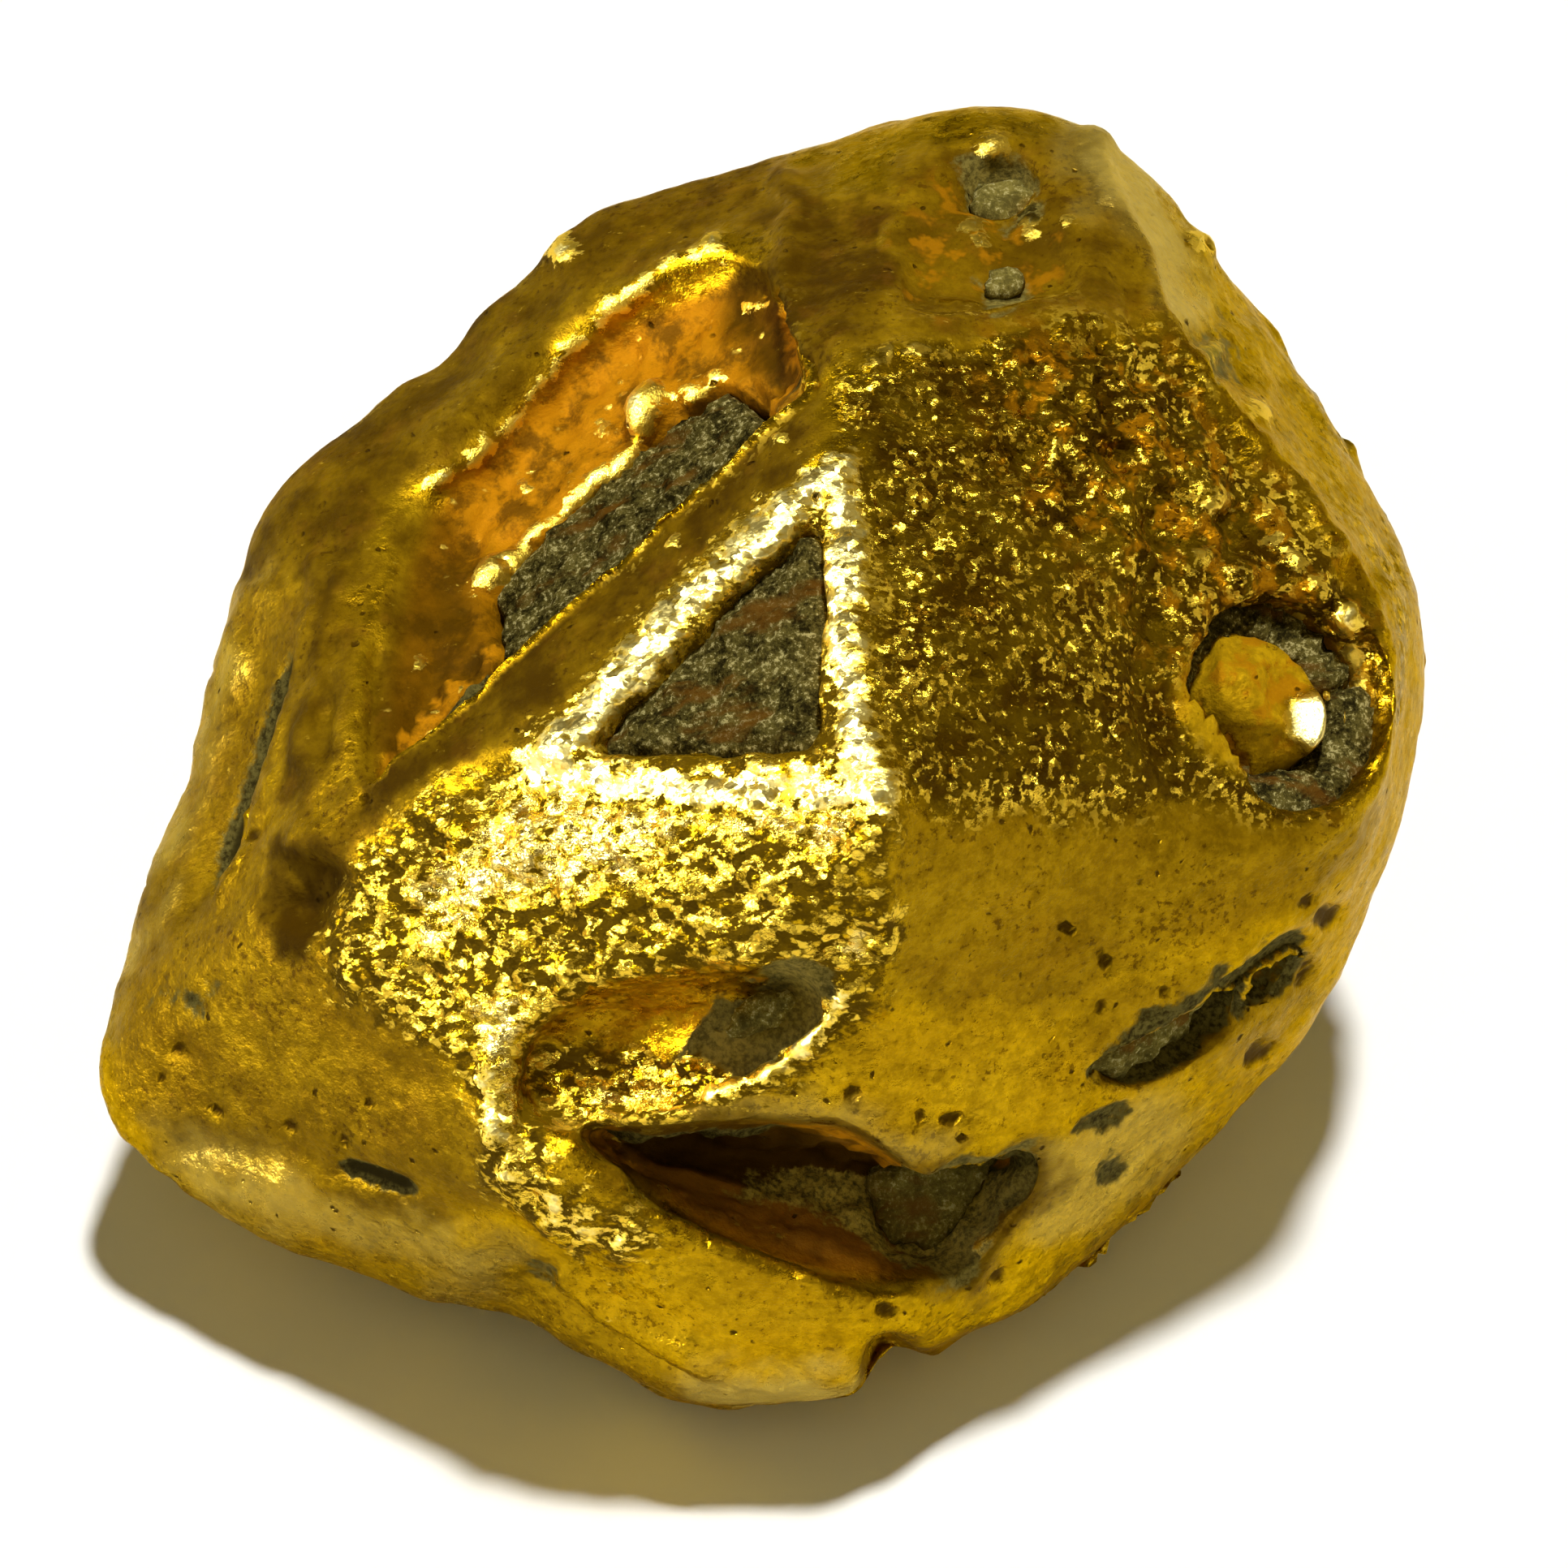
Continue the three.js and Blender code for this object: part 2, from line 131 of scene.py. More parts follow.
# Lines cut into the surface: path, width, depth and how full of silt they are.
CUTS = {
    "slit of the left face": ([(-4.38, 1.4), (-4.68, 0.55), (-4.96, -0.2), (-5.28, -1.1)], 0.1, 0.22, 1.8),
    "shade beside the slit": ([(-4.5, 2.0), (-4.78, 0.95), (-5.06, -0.1), (-5.46, -1.58)], 0.13, 0.09,
        0.0),
    "slit of the low left face": ([(-4.12, -3.43), (-3.7, -3.56), (-3.24, -3.74)], 0.07, 0.1, 1.8),
    "fold beside the lobe": ([(-2.3, -4.45), (-1.6, -4.87), (-1.05, -5.08), (-0.45, -5.35)], 0.09, 0.12,
        0.0),
    "between the groove's bands": ([(-1.6, -3.6), (-0.7, -3.98), (0.1, -4.26), (0.7, -4.5)], 0.06, 0.08,
        0.0),
    "hollow at the ridge's end": ([(-4.2, -0.6), (-4.3, -0.95), (-4.45, -1.35)], 0.26, 0.28, 0.0),
    "inside the far strip": ([(2.9, 4.9), (3.2, 4.05), (3.78, 3.36), (4.34, 2.68), (4.95, 1.95)], 0.09,
        0.09, 0.0),
    "line across the hopper's low end": ([(-3.64, 1.5), (-3.62, 0.8), (-3.68, 0.05)], 0.07, 0.1, 0.0),
    "fold left of the hopper": ([(-4.02, 1.5), (-4.12, 0.8), (-4.2, 0.1)], 0.08, 0.09, 0.0),
}

# Faces that roll over towards a line: path, reach, drop, and which side of the path, 1 for left.
ROLLS = {
    "ridge over the hopper": ([(0.5, 3.95), (-0.07, 3.44), (-1.3, 2.33), (-2.6, 1.13), (-3.72, 0.07),
        (-4.3, -0.35)], 0.8, 0.16, 1.0),
    "top of the big bright face": ([(-3.0, -0.1), (-2.4, -0.05), (1.0, -0.1)], 0.8, 0.13, -1.0),
    "top of the satin face": ([(0.95, -0.16), (2.4, -0.27), (3.9, -0.3), (5.25, -0.3)], 1.3, 0.08, -1.0),
    "under the low left face": ([(-5.7, -3.34), (-4.31, -3.53), (-3.6, -3.74), (-2.8, -3.95),
        (-2.14, -4.33)], 0.5, 0.1, -1.0),
}

# Patches drawn as outlines, each with its strength. Frosted ones are covered in tiny bright crystal
# steps, and glittering ones too, down in a dish. Spangled ones have finer and darker steps.
FROSTED = {
    "big bright face": ([(-4.08, -1.45), (-3.9, -0.79), (-3.39, -0.25), (-2.66, 0.08), (-2.01, 0.23),
        (-0.77, 0.04), (0.68, 0.08), (0.97, -0.07), (0.92, -0.83), (0.94, -1.56), (0.76, -2.06),
        (0.25, -2.65), (-0.63, -2.9), (-1.5, -3.08), (-2.3, -3.16), (-2.3, -3.5), (-1.93, -3.65),
        (-1.21, -3.8), (-1.05, -4.2), (-1.5, -4.28), (-2.01, -3.95), (-2.52, -3.62), (-2.73, -3.01),
        (-2.78, -2.6), (-3.24, -2.3), (-3.75, -1.99)], 0.54),
    "its brightest band": ([(-3.61, -0.83), (-2.95, -0.32), (-2.37, 0.12), (-0.77, -0.14), (0.68, 0.04),
        (0.87, -0.32), (0.68, -0.9), (0.1, -0.68), (-0.84, -0.61), (-1.21, -1.05), (-2.37, -1.12),
        (-3.24, -1.63)], 0.93),
    "its right corner": ([(0.2, -1.25), (0.87, -1.05), (0.95, -1.5), (0.75, -1.72), (0.3, -1.55)], 1.0),
    "its low part": ([(-2.9, -1.9), (-1.7, -1.75), (-1.9, -2.5), (-2.3, -3.1), (-2.2, -3.6), (-1.6, -3.9),
        (-1.9, -4.2), (-2.6, -3.5), (-2.75, -2.6)], 0.95),
    "rim of the triangular pit": ([(0.14, 2.88), (0.57, 2.95), (0.79, 2.3), (0.79, 0.77), (0.9, 0.04),
        (-2.37, 0.01), (-2.41, 0.23), (-1.5, 1.24), (-0.48, 2.26)], 0.5),
}
GLITTERING = {
    "floor of the hollow": ([(-2.2, -3.05), (-2.15, -2.75), (-1.6, -2.5), (-0.9, -2.4), (-0.5, -2.6),
        (0.1, -2.15), (0.45, -1.75), (0.55, -1.95), (0.1, -2.5), (-0.5, -2.85), (-1.5, -3.1)], 0.88),
}
SPANGLED = {
    "big right face": ([(0.61, 3.61), (1.19, 3.95), (2.06, 4.04), (3.16, 4.11), (3.66, 3.75), (4.32, 2.73),
        (4.97, 2.01), (5.34, 1.35), (5.26, 0.04), (4.61, -0.32), (3.52, -0.22), (2.43, -0.26),
        (1.56, -0.24), (0.97, -0.1), (0.76, 0.77), (0.76, 2.3)], 1.0),
}

# Under a dull brown film, partly a real film and partly painted shade: faces that lie darker for how
# the light falls, and walls that would mirror the left softbox, are painted dark.
STAIN_AND_SHADE = {
    "upper end of the hopper": ([(-0.63, 4.62), (-0.04, 4.91), (0.28, 4.62), (0.36, 3.82), (-0.04, 3.39),
        (-0.48, 3.9)], 0.95),
    "low end of the hopper": ([(-3.39, 2.66), (-2.95, 2.37), (-2.66, 1.5), (-2.52, 0.84), (-2.95, 0.26),
        (-3.61, -0.32), (-3.97, 0.04), (-3.75, 1.35)], 0.9),
    "left of the top": ([(-0.04, 5.57), (0.97, 5.28), (1.05, 3.97), (0.32, 3.61), (-0.04, 4.11),
        (-0.19, 4.84)], 1.0),
    "outer rim of the hopper": ([(-4.84, 1.93), (-4.55, 2.95), (-2.95, 4.7), (-1.93, 5.42), (-0.04, 5.79),
        (-0.04, 4.91), (-0.77, 4.91), (-1.93, 4.19), (-3.24, 2.95), (-3.68, 1.93), (-4.11, 1.35)], 0.92),
    "ridge over the hopper": ([(0.1, 3.8), (0.5, 3.25), (-0.65, 1.9), (-2.4, 0.3), (-3.9, -0.47),
        (-4.48, -0.61), (-3.12, 0.95), (-1.38, 2.55)], 0.97),
    "low left face": ([(-6.15, -2.36), (-5.71, -1.56), (-4.84, -0.39), (-3.97, -0.54), (-3.82, -1.41),
        (-2.95, -2.43), (-2.37, -3.45), (-2.66, -3.88), (-4.11, -3.52), (-5.71, -3.3)], 0.6),
    "top of the satin face": ([(0.87, -0.17), (5.48, -0.1), (5.26, -0.9), (3.52, -1.41), (2.43, -2.14),
        (0.97, -1.85)], 0.42),
    "end of the ridge": ([(-4.62, -0.47), (-3.97, -0.25), (-3.82, -0.97), (-4.11, -1.63), (-4.55, -1.63),
        (-4.84, -1.05)], 1.0),
    "hollow in the big bright face": ([(-2.37, -3.37), (-2.01, -2.36), (-1.35, -1.7), (0.25, -1.56),
        (0.54, -1.63), (0.1, -2.28), (-0.48, -2.72), (-1.5, -3.08)], 0.15),
    "left face": ([(-3.9, 2.08), (-4.26, 1.21), (-5.21, -1.19), (-6.08, -2.28), (-5.5, -0.39),
        (-4.7, 1.93)], 0.7),
    "between the slit and the hopper": ([(-3.75, 1.95), (-3.9, 0.2), (-4.3, -0.4), (-4.85, -0.3),
        (-4.5, 0.8), (-4.2, 1.85)], 0.88),
    "round the slit of the left face": ([(-4.3, 1.6), (-4.45, 1.5), (-4.85, 0.5), (-5.1, -0.2),
        (-5.45, -1.1), (-5.15, -1.25), (-4.8, -0.2), (-4.55, 0.5)], 0.8),
    "strip under the low left face": ([(-5.71, -3.45), (-2.66, -4.03), (-1.93, -4.32), (-1.21, -4.97),
        (0.25, -5.77), (-2.66, -5.48), (-5.57, -4.32)], 0.35),
    "fringe of the groove": ([(-2.15, -3.08), (-1.06, -2.86), (0.25, -3.05), (1.7, -3.45), (2.5, -3.23),
        (2.5, -3.81), (1.34, -4.54), (-0.48, -4.03), (-1.64, -3.59)], 0.8),
    "lower lip of the groove": ([(-1.64, -3.52), (-0.48, -3.88), (1.34, -4.54), (0.97, -4.97),
        (-0.48, -4.68), (-1.79, -3.95)], 0.15),
    "round the low right slit": ([(2.65, -1.85), (3.88, -1.63), (4.9, -1.56), (5.05, -2.06), (3.88, -2.65),
        (2.72, -2.79)], 0.4),
    "round the low left slit": ([(-4.25, -3.35), (-3.7, -3.45), (-3.15, -3.65), (-3.15, -3.95),
        (-3.7, -3.8), (-4.25, -3.65)], 0.75),
    "inside the far strip": ([(2.6, 4.9), (3.0, 4.9), (3.32, 4.1), (3.9, 3.42), (4.46, 2.74), (5.05, 2.0),
        (4.75, 1.95), (4.1, 2.6), (3.5, 3.4), (3.0, 4.0)], 0.6),
    "below the ridge": ([(-4.11, -0.25), (-3.61, 0.19), (-2.95, 0.77), (-2.52, 0.7), (-2.66, 0.26),
        (-3.24, -0.14), (-3.68, -0.54), (-3.97, -0.97), (-4.26, -1.12), (-4.33, -0.61)], 0.9),
    "outside the hopper's first lip": ([(-3.3, 2.62), (-2.3, 3.38), (-1.54, 4.32), (-1.13, 4.74),
        (-0.5, 4.92), (-0.4, 5.2), (-1.35, 5.05), (-1.85, 4.6), (-2.6, 3.8), (-3.6, 3.0)], 0.8),
    "right of the top": ([(0.97, 5.6), (2.5, 5.9), (3.0, 4.9), (3.3, 4.15), (1.0, 4.0)], 0.9),
    "between the ridge and the bright face": ([(-4.0, -0.6), (-3.2, 0.0), (-2.0, 0.8), (-1.0, 1.6),
        (-0.9, 1.35), (-2.1, 0.3), (-2.9, 0.05), (-3.6, -0.45), (-4.0, -0.95)], 0.9),
    "right wall of the groove": ([(1.9, -3.25), (2.3, -3.15), (2.35, -3.7), (1.8, -4.7), (1.3, -4.6),
        (1.7, -4.0)], 0.8),
    "round pit": ([(3.52, 1.79), (4.32, 2.08), (4.97, 1.64), (5.41, 0.77), (5.26, 0.12), (4.32, -0.25),
        (3.66, 0.26)], 0.4),
}

# Smeared with silt that is too thin to be a piece of its own, and which of those smears are paler.
# The groove's smear is made paler as painted light against its shade.
SILTED = {
    "lower hollow": ([(-0.9, -2.43), (-0.48, -1.93), (-0.04, -1.63), (0.39, -1.65), (0.28, -1.99),
        (-0.08, -2.36), (-0.55, -2.54)], 1.0),
    "middle of the groove": ([(-0.48, -3.45), (0.32, -3.48), (0.68, -3.81), (0.25, -3.99), (-0.33, -3.77)],
        0.7),
    "right end of the groove": ([(0.03, -3.5), (0.57, -3.66), (0.98, -3.76), (1.52, -3.46), (2.3, -3.22),
        (2.36, -3.34), (1.88, -3.87), (1.7, -4.41), (1.58, -4.59), (1.16, -4.23), (0.57, -3.99),
        (0.14, -3.88)], 0.9),
    "low right slit": ([(2.66, -2.56), (3.12, -2.15), (3.74, -1.81), (4.05, -1.82), (3.98, -2.08),
        (3.6, -2.45), (3.2, -2.7), (2.85, -2.74)], 1.0),
    "neck of the low right slit": ([(3.7, -1.8), (4.1, -1.55), (4.2, -1.7), (3.9, -2.0)], 1.0),
    "beyond the slit": ([(4.02, -1.7), (4.28, -1.4), (4.62, -1.45), (4.68, -1.8), (4.4, -2.05),
        (4.1, -2.0)], 1.0),
    "upper low right pit": ([(2.7, -2.94), (3.01, -3.01), (2.97, -3.24), (2.76, -3.19)], 0.9),
    "lower low right pit": ([(2.95, -3.34), (3.24, -3.36), (3.19, -3.61), (3.0, -3.56)], 0.9),
    "under the front edge": ([(-2.45, -4.38), (-2.04, -4.41), (-2.08, -4.54), (-2.37, -4.52)], 0.8),
    "far right face": ([(3.62, 4.17), (3.9, 4.11), (4.17, 3.61), (3.97, 3.48), (3.74, 3.82)], 0.6),
    "top, upper": ([(1.54, 5.39), (1.81, 5.64), (2.17, 5.61), (2.34, 5.35), (2.21, 5.12), (1.77, 5.15)],
        0.8),
    "top, lower": ([(1.74, 4.51), (1.96, 4.68), (2.25, 4.62), (2.2, 4.32), (1.88, 4.23)], 0.8),
    "low left face": ([(-5.54, -1.79), (-5.37, -1.63), (-5.12, -1.74), (-5.21, -2.05), (-5.47, -2.04)],
        0.7),
}
PALE_PATCHES = ("lower hollow", "right end of the groove", "top, upper", "top, lower")

# Worn edges that are pale with dust, and painted sheen along the outline, the low edges and the
# groove's upper lip; then patches flecked with orange.
DUST_AND_SHEEN = {
    "far strip": ([(2.35, 5.95), (2.95, 6.1), (3.6, 4.95), (3.8, 4.2), (3.45, 4.1), (3.1, 4.8),
        (2.65, 5.5)], 0.8),
    "outline of the left face": ([(-4.95, 1.9), (-4.6, 2.2), (-5.05, 0.9), (-5.35, -0.2), (-5.65, -1.2),
        (-6.05, -2.2), (-6.4, -2.2), (-6.0, -1.0), (-5.6, 0.3)], 0.6),
    "tip of the lobe": ([(-0.9, -5.15), (0.0, -5.2), (0.9, -5.4), (0.9, -5.9), (-0.9, -5.9)], 0.8),
    "edge under the low left face": ([(-5.7, -3.05), (-5.0, -3.15), (-4.5, -3.45), (-4.2, -3.64),
        (-3.2, -3.88), (-2.3, -4.35), (-2.55, -4.6), (-3.4, -4.2), (-4.4, -3.95), (-5.3, -3.7)], 0.55),
    "far low end of the satin face": ([(2.4, -3.3), (3.4, -2.8), (3.9, -3.4), (2.9, -4.2), (2.2, -4.2)],
        0.5),
    "upper lip of the groove": ([(-1.7, -2.95), (-0.4, -2.85), (0.6, -2.95), (1.5, -3.25), (1.2, -3.5),
        (0.5, -3.3), (-0.5, -3.1)], 0.45),
}
# The orange of these patches is the painted bounce orange of the hollows.
ORANGE_FLECKED = {
    "dish of the top": ([(1.05, 4.35), (1.05, 5.2), (1.6, 5.35), (2.6, 5.05), (2.55, 4.4)], 0.75),
    "low side of the round pit": ([(4.4, -0.2), (5.0, -0.1), (5.1, 0.3), (4.5, 0.15)], 0.9),
    "lower hollow": ([(-1.3, -2.5), (-1.2, -1.9), (-0.6, -1.85), (-0.5, -2.3), (-0.9, -2.55)], 0.7),
}

# Rounded lumps, terraces that are smoothed, and edges of the hollows that are worn away altogether.
LUMPY = {
    "upper right of the right face": ([(1.9, 4.0), (3.16, 4.1), (3.66, 3.75), (4.32, 2.73), (5.2, 1.8),
        (5.3, 0.3), (4.6, 0.0), (3.4, 1.0), (2.9, 1.9), (2.0, 2.7)], 1.0),
}
SOFTENED = {
    "terraces of the hopper": ([(-3.39, 2.66), (-2.22, 3.53), (-1.13, 4.77), (-0.04, 4.99), (0.25, 3.82),
        (-0.48, 3.24), (-1.64, 2.66), (-2.37, 1.93), (-2.66, 0.99), (-3.53, -0.1), (-3.9, 0.04),
        (-3.75, 1.5)], 1.0),
}
WORN = {
    "low end of the hopper": ([(-4.2, 2.3), (-3.3, 2.9), (-2.9, 2.4), (-3.1, 0.9), (-3.5, -0.2),
        (-4.3, -0.3)], 1.0),
    "right end of the groove": ([(1.5, -3.3), (2.36, -3.0), (2.55, -3.9), (1.85, -4.7), (1.2, -4.54),
        (1.6, -3.9)], 1.0),
    "beyond the low right slit": ([(3.85, -1.7), (4.25, -1.3), (4.75, -1.4), (4.8, -1.9), (4.4, -2.2),
        (3.95, -2.1)], 1.0),
    "slit of the left face": ([(-4.2, 1.7), (-4.5, 1.6), (-4.95, 0.5), (-5.2, -0.2), (-5.5, -1.2),
        (-5.1, -1.35), (-4.7, -0.2), (-4.4, 0.5)], 1.0),
    "slit of the low left face": ([(-4.35, -3.3), (-3.7, -3.4), (-3.05, -3.6), (-3.05, -4.0),
        (-3.7, -3.85), (-4.35, -3.7)], 1.0),
}

# Shallow dishes: outline, depth at the low edge and depth at the high edge.
DISHES = {
    "hollow in the big bright face": ([(-2.4, -2.4), (-2.08, -1.99), (-1.5, -1.74), (-0.48, -1.63),
        (0.32, -1.63), (0.36, -1.99), (0.1, -2.43), (-0.48, -2.7), (-1.21, -2.9), (-1.93, -3.0),
        (-2.3, -2.95)], 0.42, 0.0),
    "dish of the top": ([(1.02, 4.3), (1.02, 5.1), (1.5, 5.65), (2.4, 5.65), (2.7, 5.1), (2.6, 4.45),
        (1.9, 4.25)], 0.1, 0.02),
}

# Round beads that stand up and pinholes, by place and radius. Notches wear the outline: place, radius
# and depth, which is less than 0 where the outline swells.
BEADS = [
    (1.88, 5.7, 0.14), (2.18, 5.09, 0.15), (1.63, 5.04, 0.09), (1.69, 4.89, 0.09), (2.61, 5.07, 0.09),
    (3.72, 4.84, 0.13), (3.82, 3.85, 0.1), (4.3, 3.33, 0.1), (-2.0, 4.75, 0.13), (3.92, 2.59, 0.14),
    (3.8, 2.45, 0.1), (3.75, 1.93, 0.09), (-1.06, 2.26, 0.09), (-0.04, 3.2, 0.09), (-0.25, 4.25, 0.09),
    (-3.31, 1.05, 0.08), (-1.66, 3.19, 0.07), (-2.3, 2.64, 0.06),
]
PINHOLES = [
    (2.54, -1.37, 0.07), (2.85, -1.63, 0.08), (3.37, -1.88, 0.06), (2.86, -2.06, 0.07),
    (0.65, -2.83, 0.12), (1.27, -2.97, 0.06), (1.52, -3.05, 0.08), (1.58, -3.21, 0.07),
    (4.65, -1.05, 0.07), (-5.13, -2.88, 0.08), (-4.5, -3.08, 0.09), (1.99, -4.54, 0.09),
    (0.94, -4.75, 0.1), (-3.87, -0.05, 0.08), (-4.8, -0.41, 0.08), (0.28, 2.51, 0.06), (2.88, 3.94, 0.08),
    (4.32, -2.46, 0.09), (4.97, -1.27, 0.1), (4.75, -1.81, 0.09), (-5.6, -2.62, 0.07), (-5.4, -2.35, 0.07),
    (-3.71, -2.89, 0.07), (-3.95, -3.2, 0.07),
]
NOTCHES = [
    (-3.06, 3.82, 0.3, 0.12), (-2.37, -4.65, 0.4, 0.15), (0.97, -5.25, 0.22, 0.38),
    (1.6, -5.15, 0.6, 0.12), (2.64, -4.57, 0.8, 0.18), (3.5, -3.9, 0.8, 0.18), (4.2, -3.1, 0.8, 0.16),
    (4.8, -2.2, 0.8, 0.11), (5.3, -1.2, 0.8, 0.11), (-5.4, 0.0, 0.5, 0.08), (-0.8, -5.3, 0.7, -0.18),
    (-4.4, 2.6, 0.7, -0.12), (3.2, 5.4, 0.6, -0.1), (-1.8, 4.95, 0.5, -0.09), (-4.7, -4.0, 0.5, -0.08),
]

# The groove's walls are a deep orange-brown, made lighter as painted light against the deep shade they
# lie in, and painted dark shade lies under the groove's upper lip.
GROOVE = [(-1.75, -2.95), (0.2, -3.1), (1.2, -3.5), (2.5, -3.1), (2.6, -3.4), (1.8, -4.6), (0.9, -4.7),
    (-0.5, -4.1), (-1.75, -3.5)]
GROOVE_SHADE = {
    "under the lip": ([(-1.5, -3.0), (-0.5, -2.98), (0.25, -3.08), (0.95, -3.42), (1.1, -3.58),
        (0.5, -3.8), (-0.1, -3.7), (-0.8, -3.5), (-1.5, -3.3)], 1.0),
}

# The round pit is stretched about its middle. The knob in it is smooth and narrowed across its
# long diagonal, and its low end has one flat facet that rises to the right.
PIT_MIDDLE, PIT_HALF = np.array((4.2, 0.94)), np.array((0.55, 0.8))
PIT_STRETCH, PIT_SHIFT = np.array((0.5, 0.2)), np.array((0.06, -0.15))
KNOB_FROM, KNOB_MIDDLE, KNOB_REACH = np.array((4.2, 0.62)), (4.2, 0.8), 0.8
KNOB_ACROSS, KNOB_SHIFT = np.array((0.75, 0.66)), np.array((-0.02, 0.18))
FACET_MIDDLE, FACET_REACH, FACET_DROP = (4.66, 0.56), 0.21, 0.12
FACET_RISE = np.array((0.54, -0.04))

# Relief laid over each kind of surface: height and size of its bumps, layers of noise, seed and gain.
# Lumps are rounded bumps that meet in creases: height, size and seed.
RELIEF = {
    "everywhere": ((0.05, 2.2, 2, 3, 0.5), (0.025, 0.7, 3, 9, 0.6)),
    "away": ((0.05, 0.5, 3, 97, 0.5),),
    "hollow": ((0.045, 0.22, 3, 12, 0.7),),
    "lumps": ((0.04, 0.18, 2, 16, 0.5),),
    "bright": ((0.07, 0.3, 3, 5, 0.7),),
    "spangled": ((0.03, 0.3, 3, 6, 0.7),),
}
LUMPS = {"hollow": (0.05, 0.35, 11), "lumps": (0.16, 0.36, 14)}
STEPS_SLANT = (0.82, 0.57)   # cosine and sine of the slant of the frosting's steps
STEPS_STRETCH = 1.5
HIDDEN_WARP, HIDDEN_DENTS = 0.13, 0.16
RAGGED = 0.16                # how far the patches' edges stray
SILT_SUNK = 0.07             # how far painted silt lies below the faces round it
BASE_SKIN = 0.04             # what lies this near the floor is laid flat on it


def smoothstep(low, high, value):
    t = np.clip((value - low) / (high - low), 0.0, 1.0)
    return t * t * (3.0 - 2.0 * t)


def turned(vectors, angle):
    """Vectors turned about X."""
    c, s = math.cos(angle), math.sin(angle)
    x, y, z = vectors.T
    return np.stack([x, y * c - z * s, y * s + z * c], axis=1)


def to_own(points):
    """Lying millimetres to the crystal's own axes."""
    return turned(points - (0.0, 0.0, REST_HEIGHT), -TIP_BACK)


def to_lying(points):
    """The crystal's own axes to lying millimetres."""
    return turned(points, TIP_BACK) + (0.0, 0.0, REST_HEIGHT)


# ------------------------------------------------------------------ noise

def lattice_noise(points, seed):
    """Smooth noise from -1 to 1 with one bump to a unit."""
    cell = np.floor(points).astype(np.int64)
    part = points - cell
    part = part ** 3 * (part * (part * 6.0 - 15.0) + 10.0)
    total = np.zeros(len(points))
    for corner in itertools.product((0, 1), repeat=3):
        key = (cell + corner) @ np.array((73856093, 19349663, 83492791)) + seed * 2654435761
        key = (key ^ (key >> 15)) * 2246822519 & 0xFFFFFFFF
        key = (key ^ (key >> 13)) * 3266489917 & 0xFFFFFFFF
        share = np.prod(np.where(corner, part, 1.0 - part), axis=1)
        total += share * ((key & 0xFFFFFF) / 0x7FFFFF - 1.0)
    return total


def rough(points, size, octaves=3, seed=0, gain=0.5):
    """Fractal noise about zero, with its largest bumps that many millimetres across."""
    total, share = np.zeros(len(points)), 1.0
    for octave in range(octaves):
        total += share * lattice_noise(points * (2.03 ** octave / size) + 17.3 * octave, seed + octave)
        share *= gain
    return total


def lumpy(points, size, seed=0):
    """Rounded lumps that meet in creases, from about -0.5 to 0.5."""
    return 0.5 - np.abs(lattice_noise(points / size, seed)) * 1.6 - 0.3 * np.abs(
        lattice_noise(points * 2.1 / size + 5.0, seed + 1))


# ------------------------------------------------------------------ drawn lines and patches

def distance_to_path(plane, path):
    """Each drawn point's distance to a path, how far along it is, the path's length and its side."""
    path = np.array(path, float)
    best = np.full(len(plane), 1e9)
    along = np.zeros(len(plane))
    side = np.ones(len(plane))
    run = 0.0
    for start, end in zip(path[:-1], path[1:]):
        leg = end - start
        length = float(np.hypot(*leg))
        off = plane - start
        t = np.clip((off @ leg) / length ** 2, 0.0, 1.0)
        gap = np.hypot(*(off - t[:, None] * leg).T)
        nearer = gap < best
        best = np.where(nearer, gap, best)
        along = np.where(nearer, run + t * length, along)
        side = np.where(nearer, np.sign(leg[0] * off[:, 1] - leg[1] * off[:, 0]), side)
        run += length
    return best, along, run, side


def within(plane, outline, soft):
    """1 inside an outline and 0 outside it, with a soft edge."""
    ring = np.array(outline + outline[:1], float)
    inside = np.zeros(len(plane), bool)
    x, y = plane.T
    for (x0, y0), (x1, y1) in zip(ring[:-1], ring[1:]):
        crosses = (y0 > y) != (y1 > y)
        rise = y1 - y0 if y1 != y0 else 1e-9
        inside ^= crosses & (x < (x1 - x0) * (y - y0) / rise + x0)
    gap = distance_to_path(plane, ring)[0]
    return smoothstep(-soft, soft, np.where(inside, gap, -gap))


def patch(plane, outlines, soft):
    """The strongest of several outlined patches at each point."""
    strengths = [strength * within(plane, outline, soft) for outline, strength in outlines.values()]
    return np.max(strengths, axis=0)


def spot(plane, place, radius):
    """A soft round spot on the drawing plane."""
    return np.exp(-((plane - place) ** 2).sum(axis=1) / radius ** 2)


def tapered(along, run, reach):
    """1 along a path that is run long, easing to 0 at both its ends."""
    return smoothstep(0.0, reach, along) * smoothstep(0.0, reach, run - along)


# ------------------------------------------------------------------ sculpting

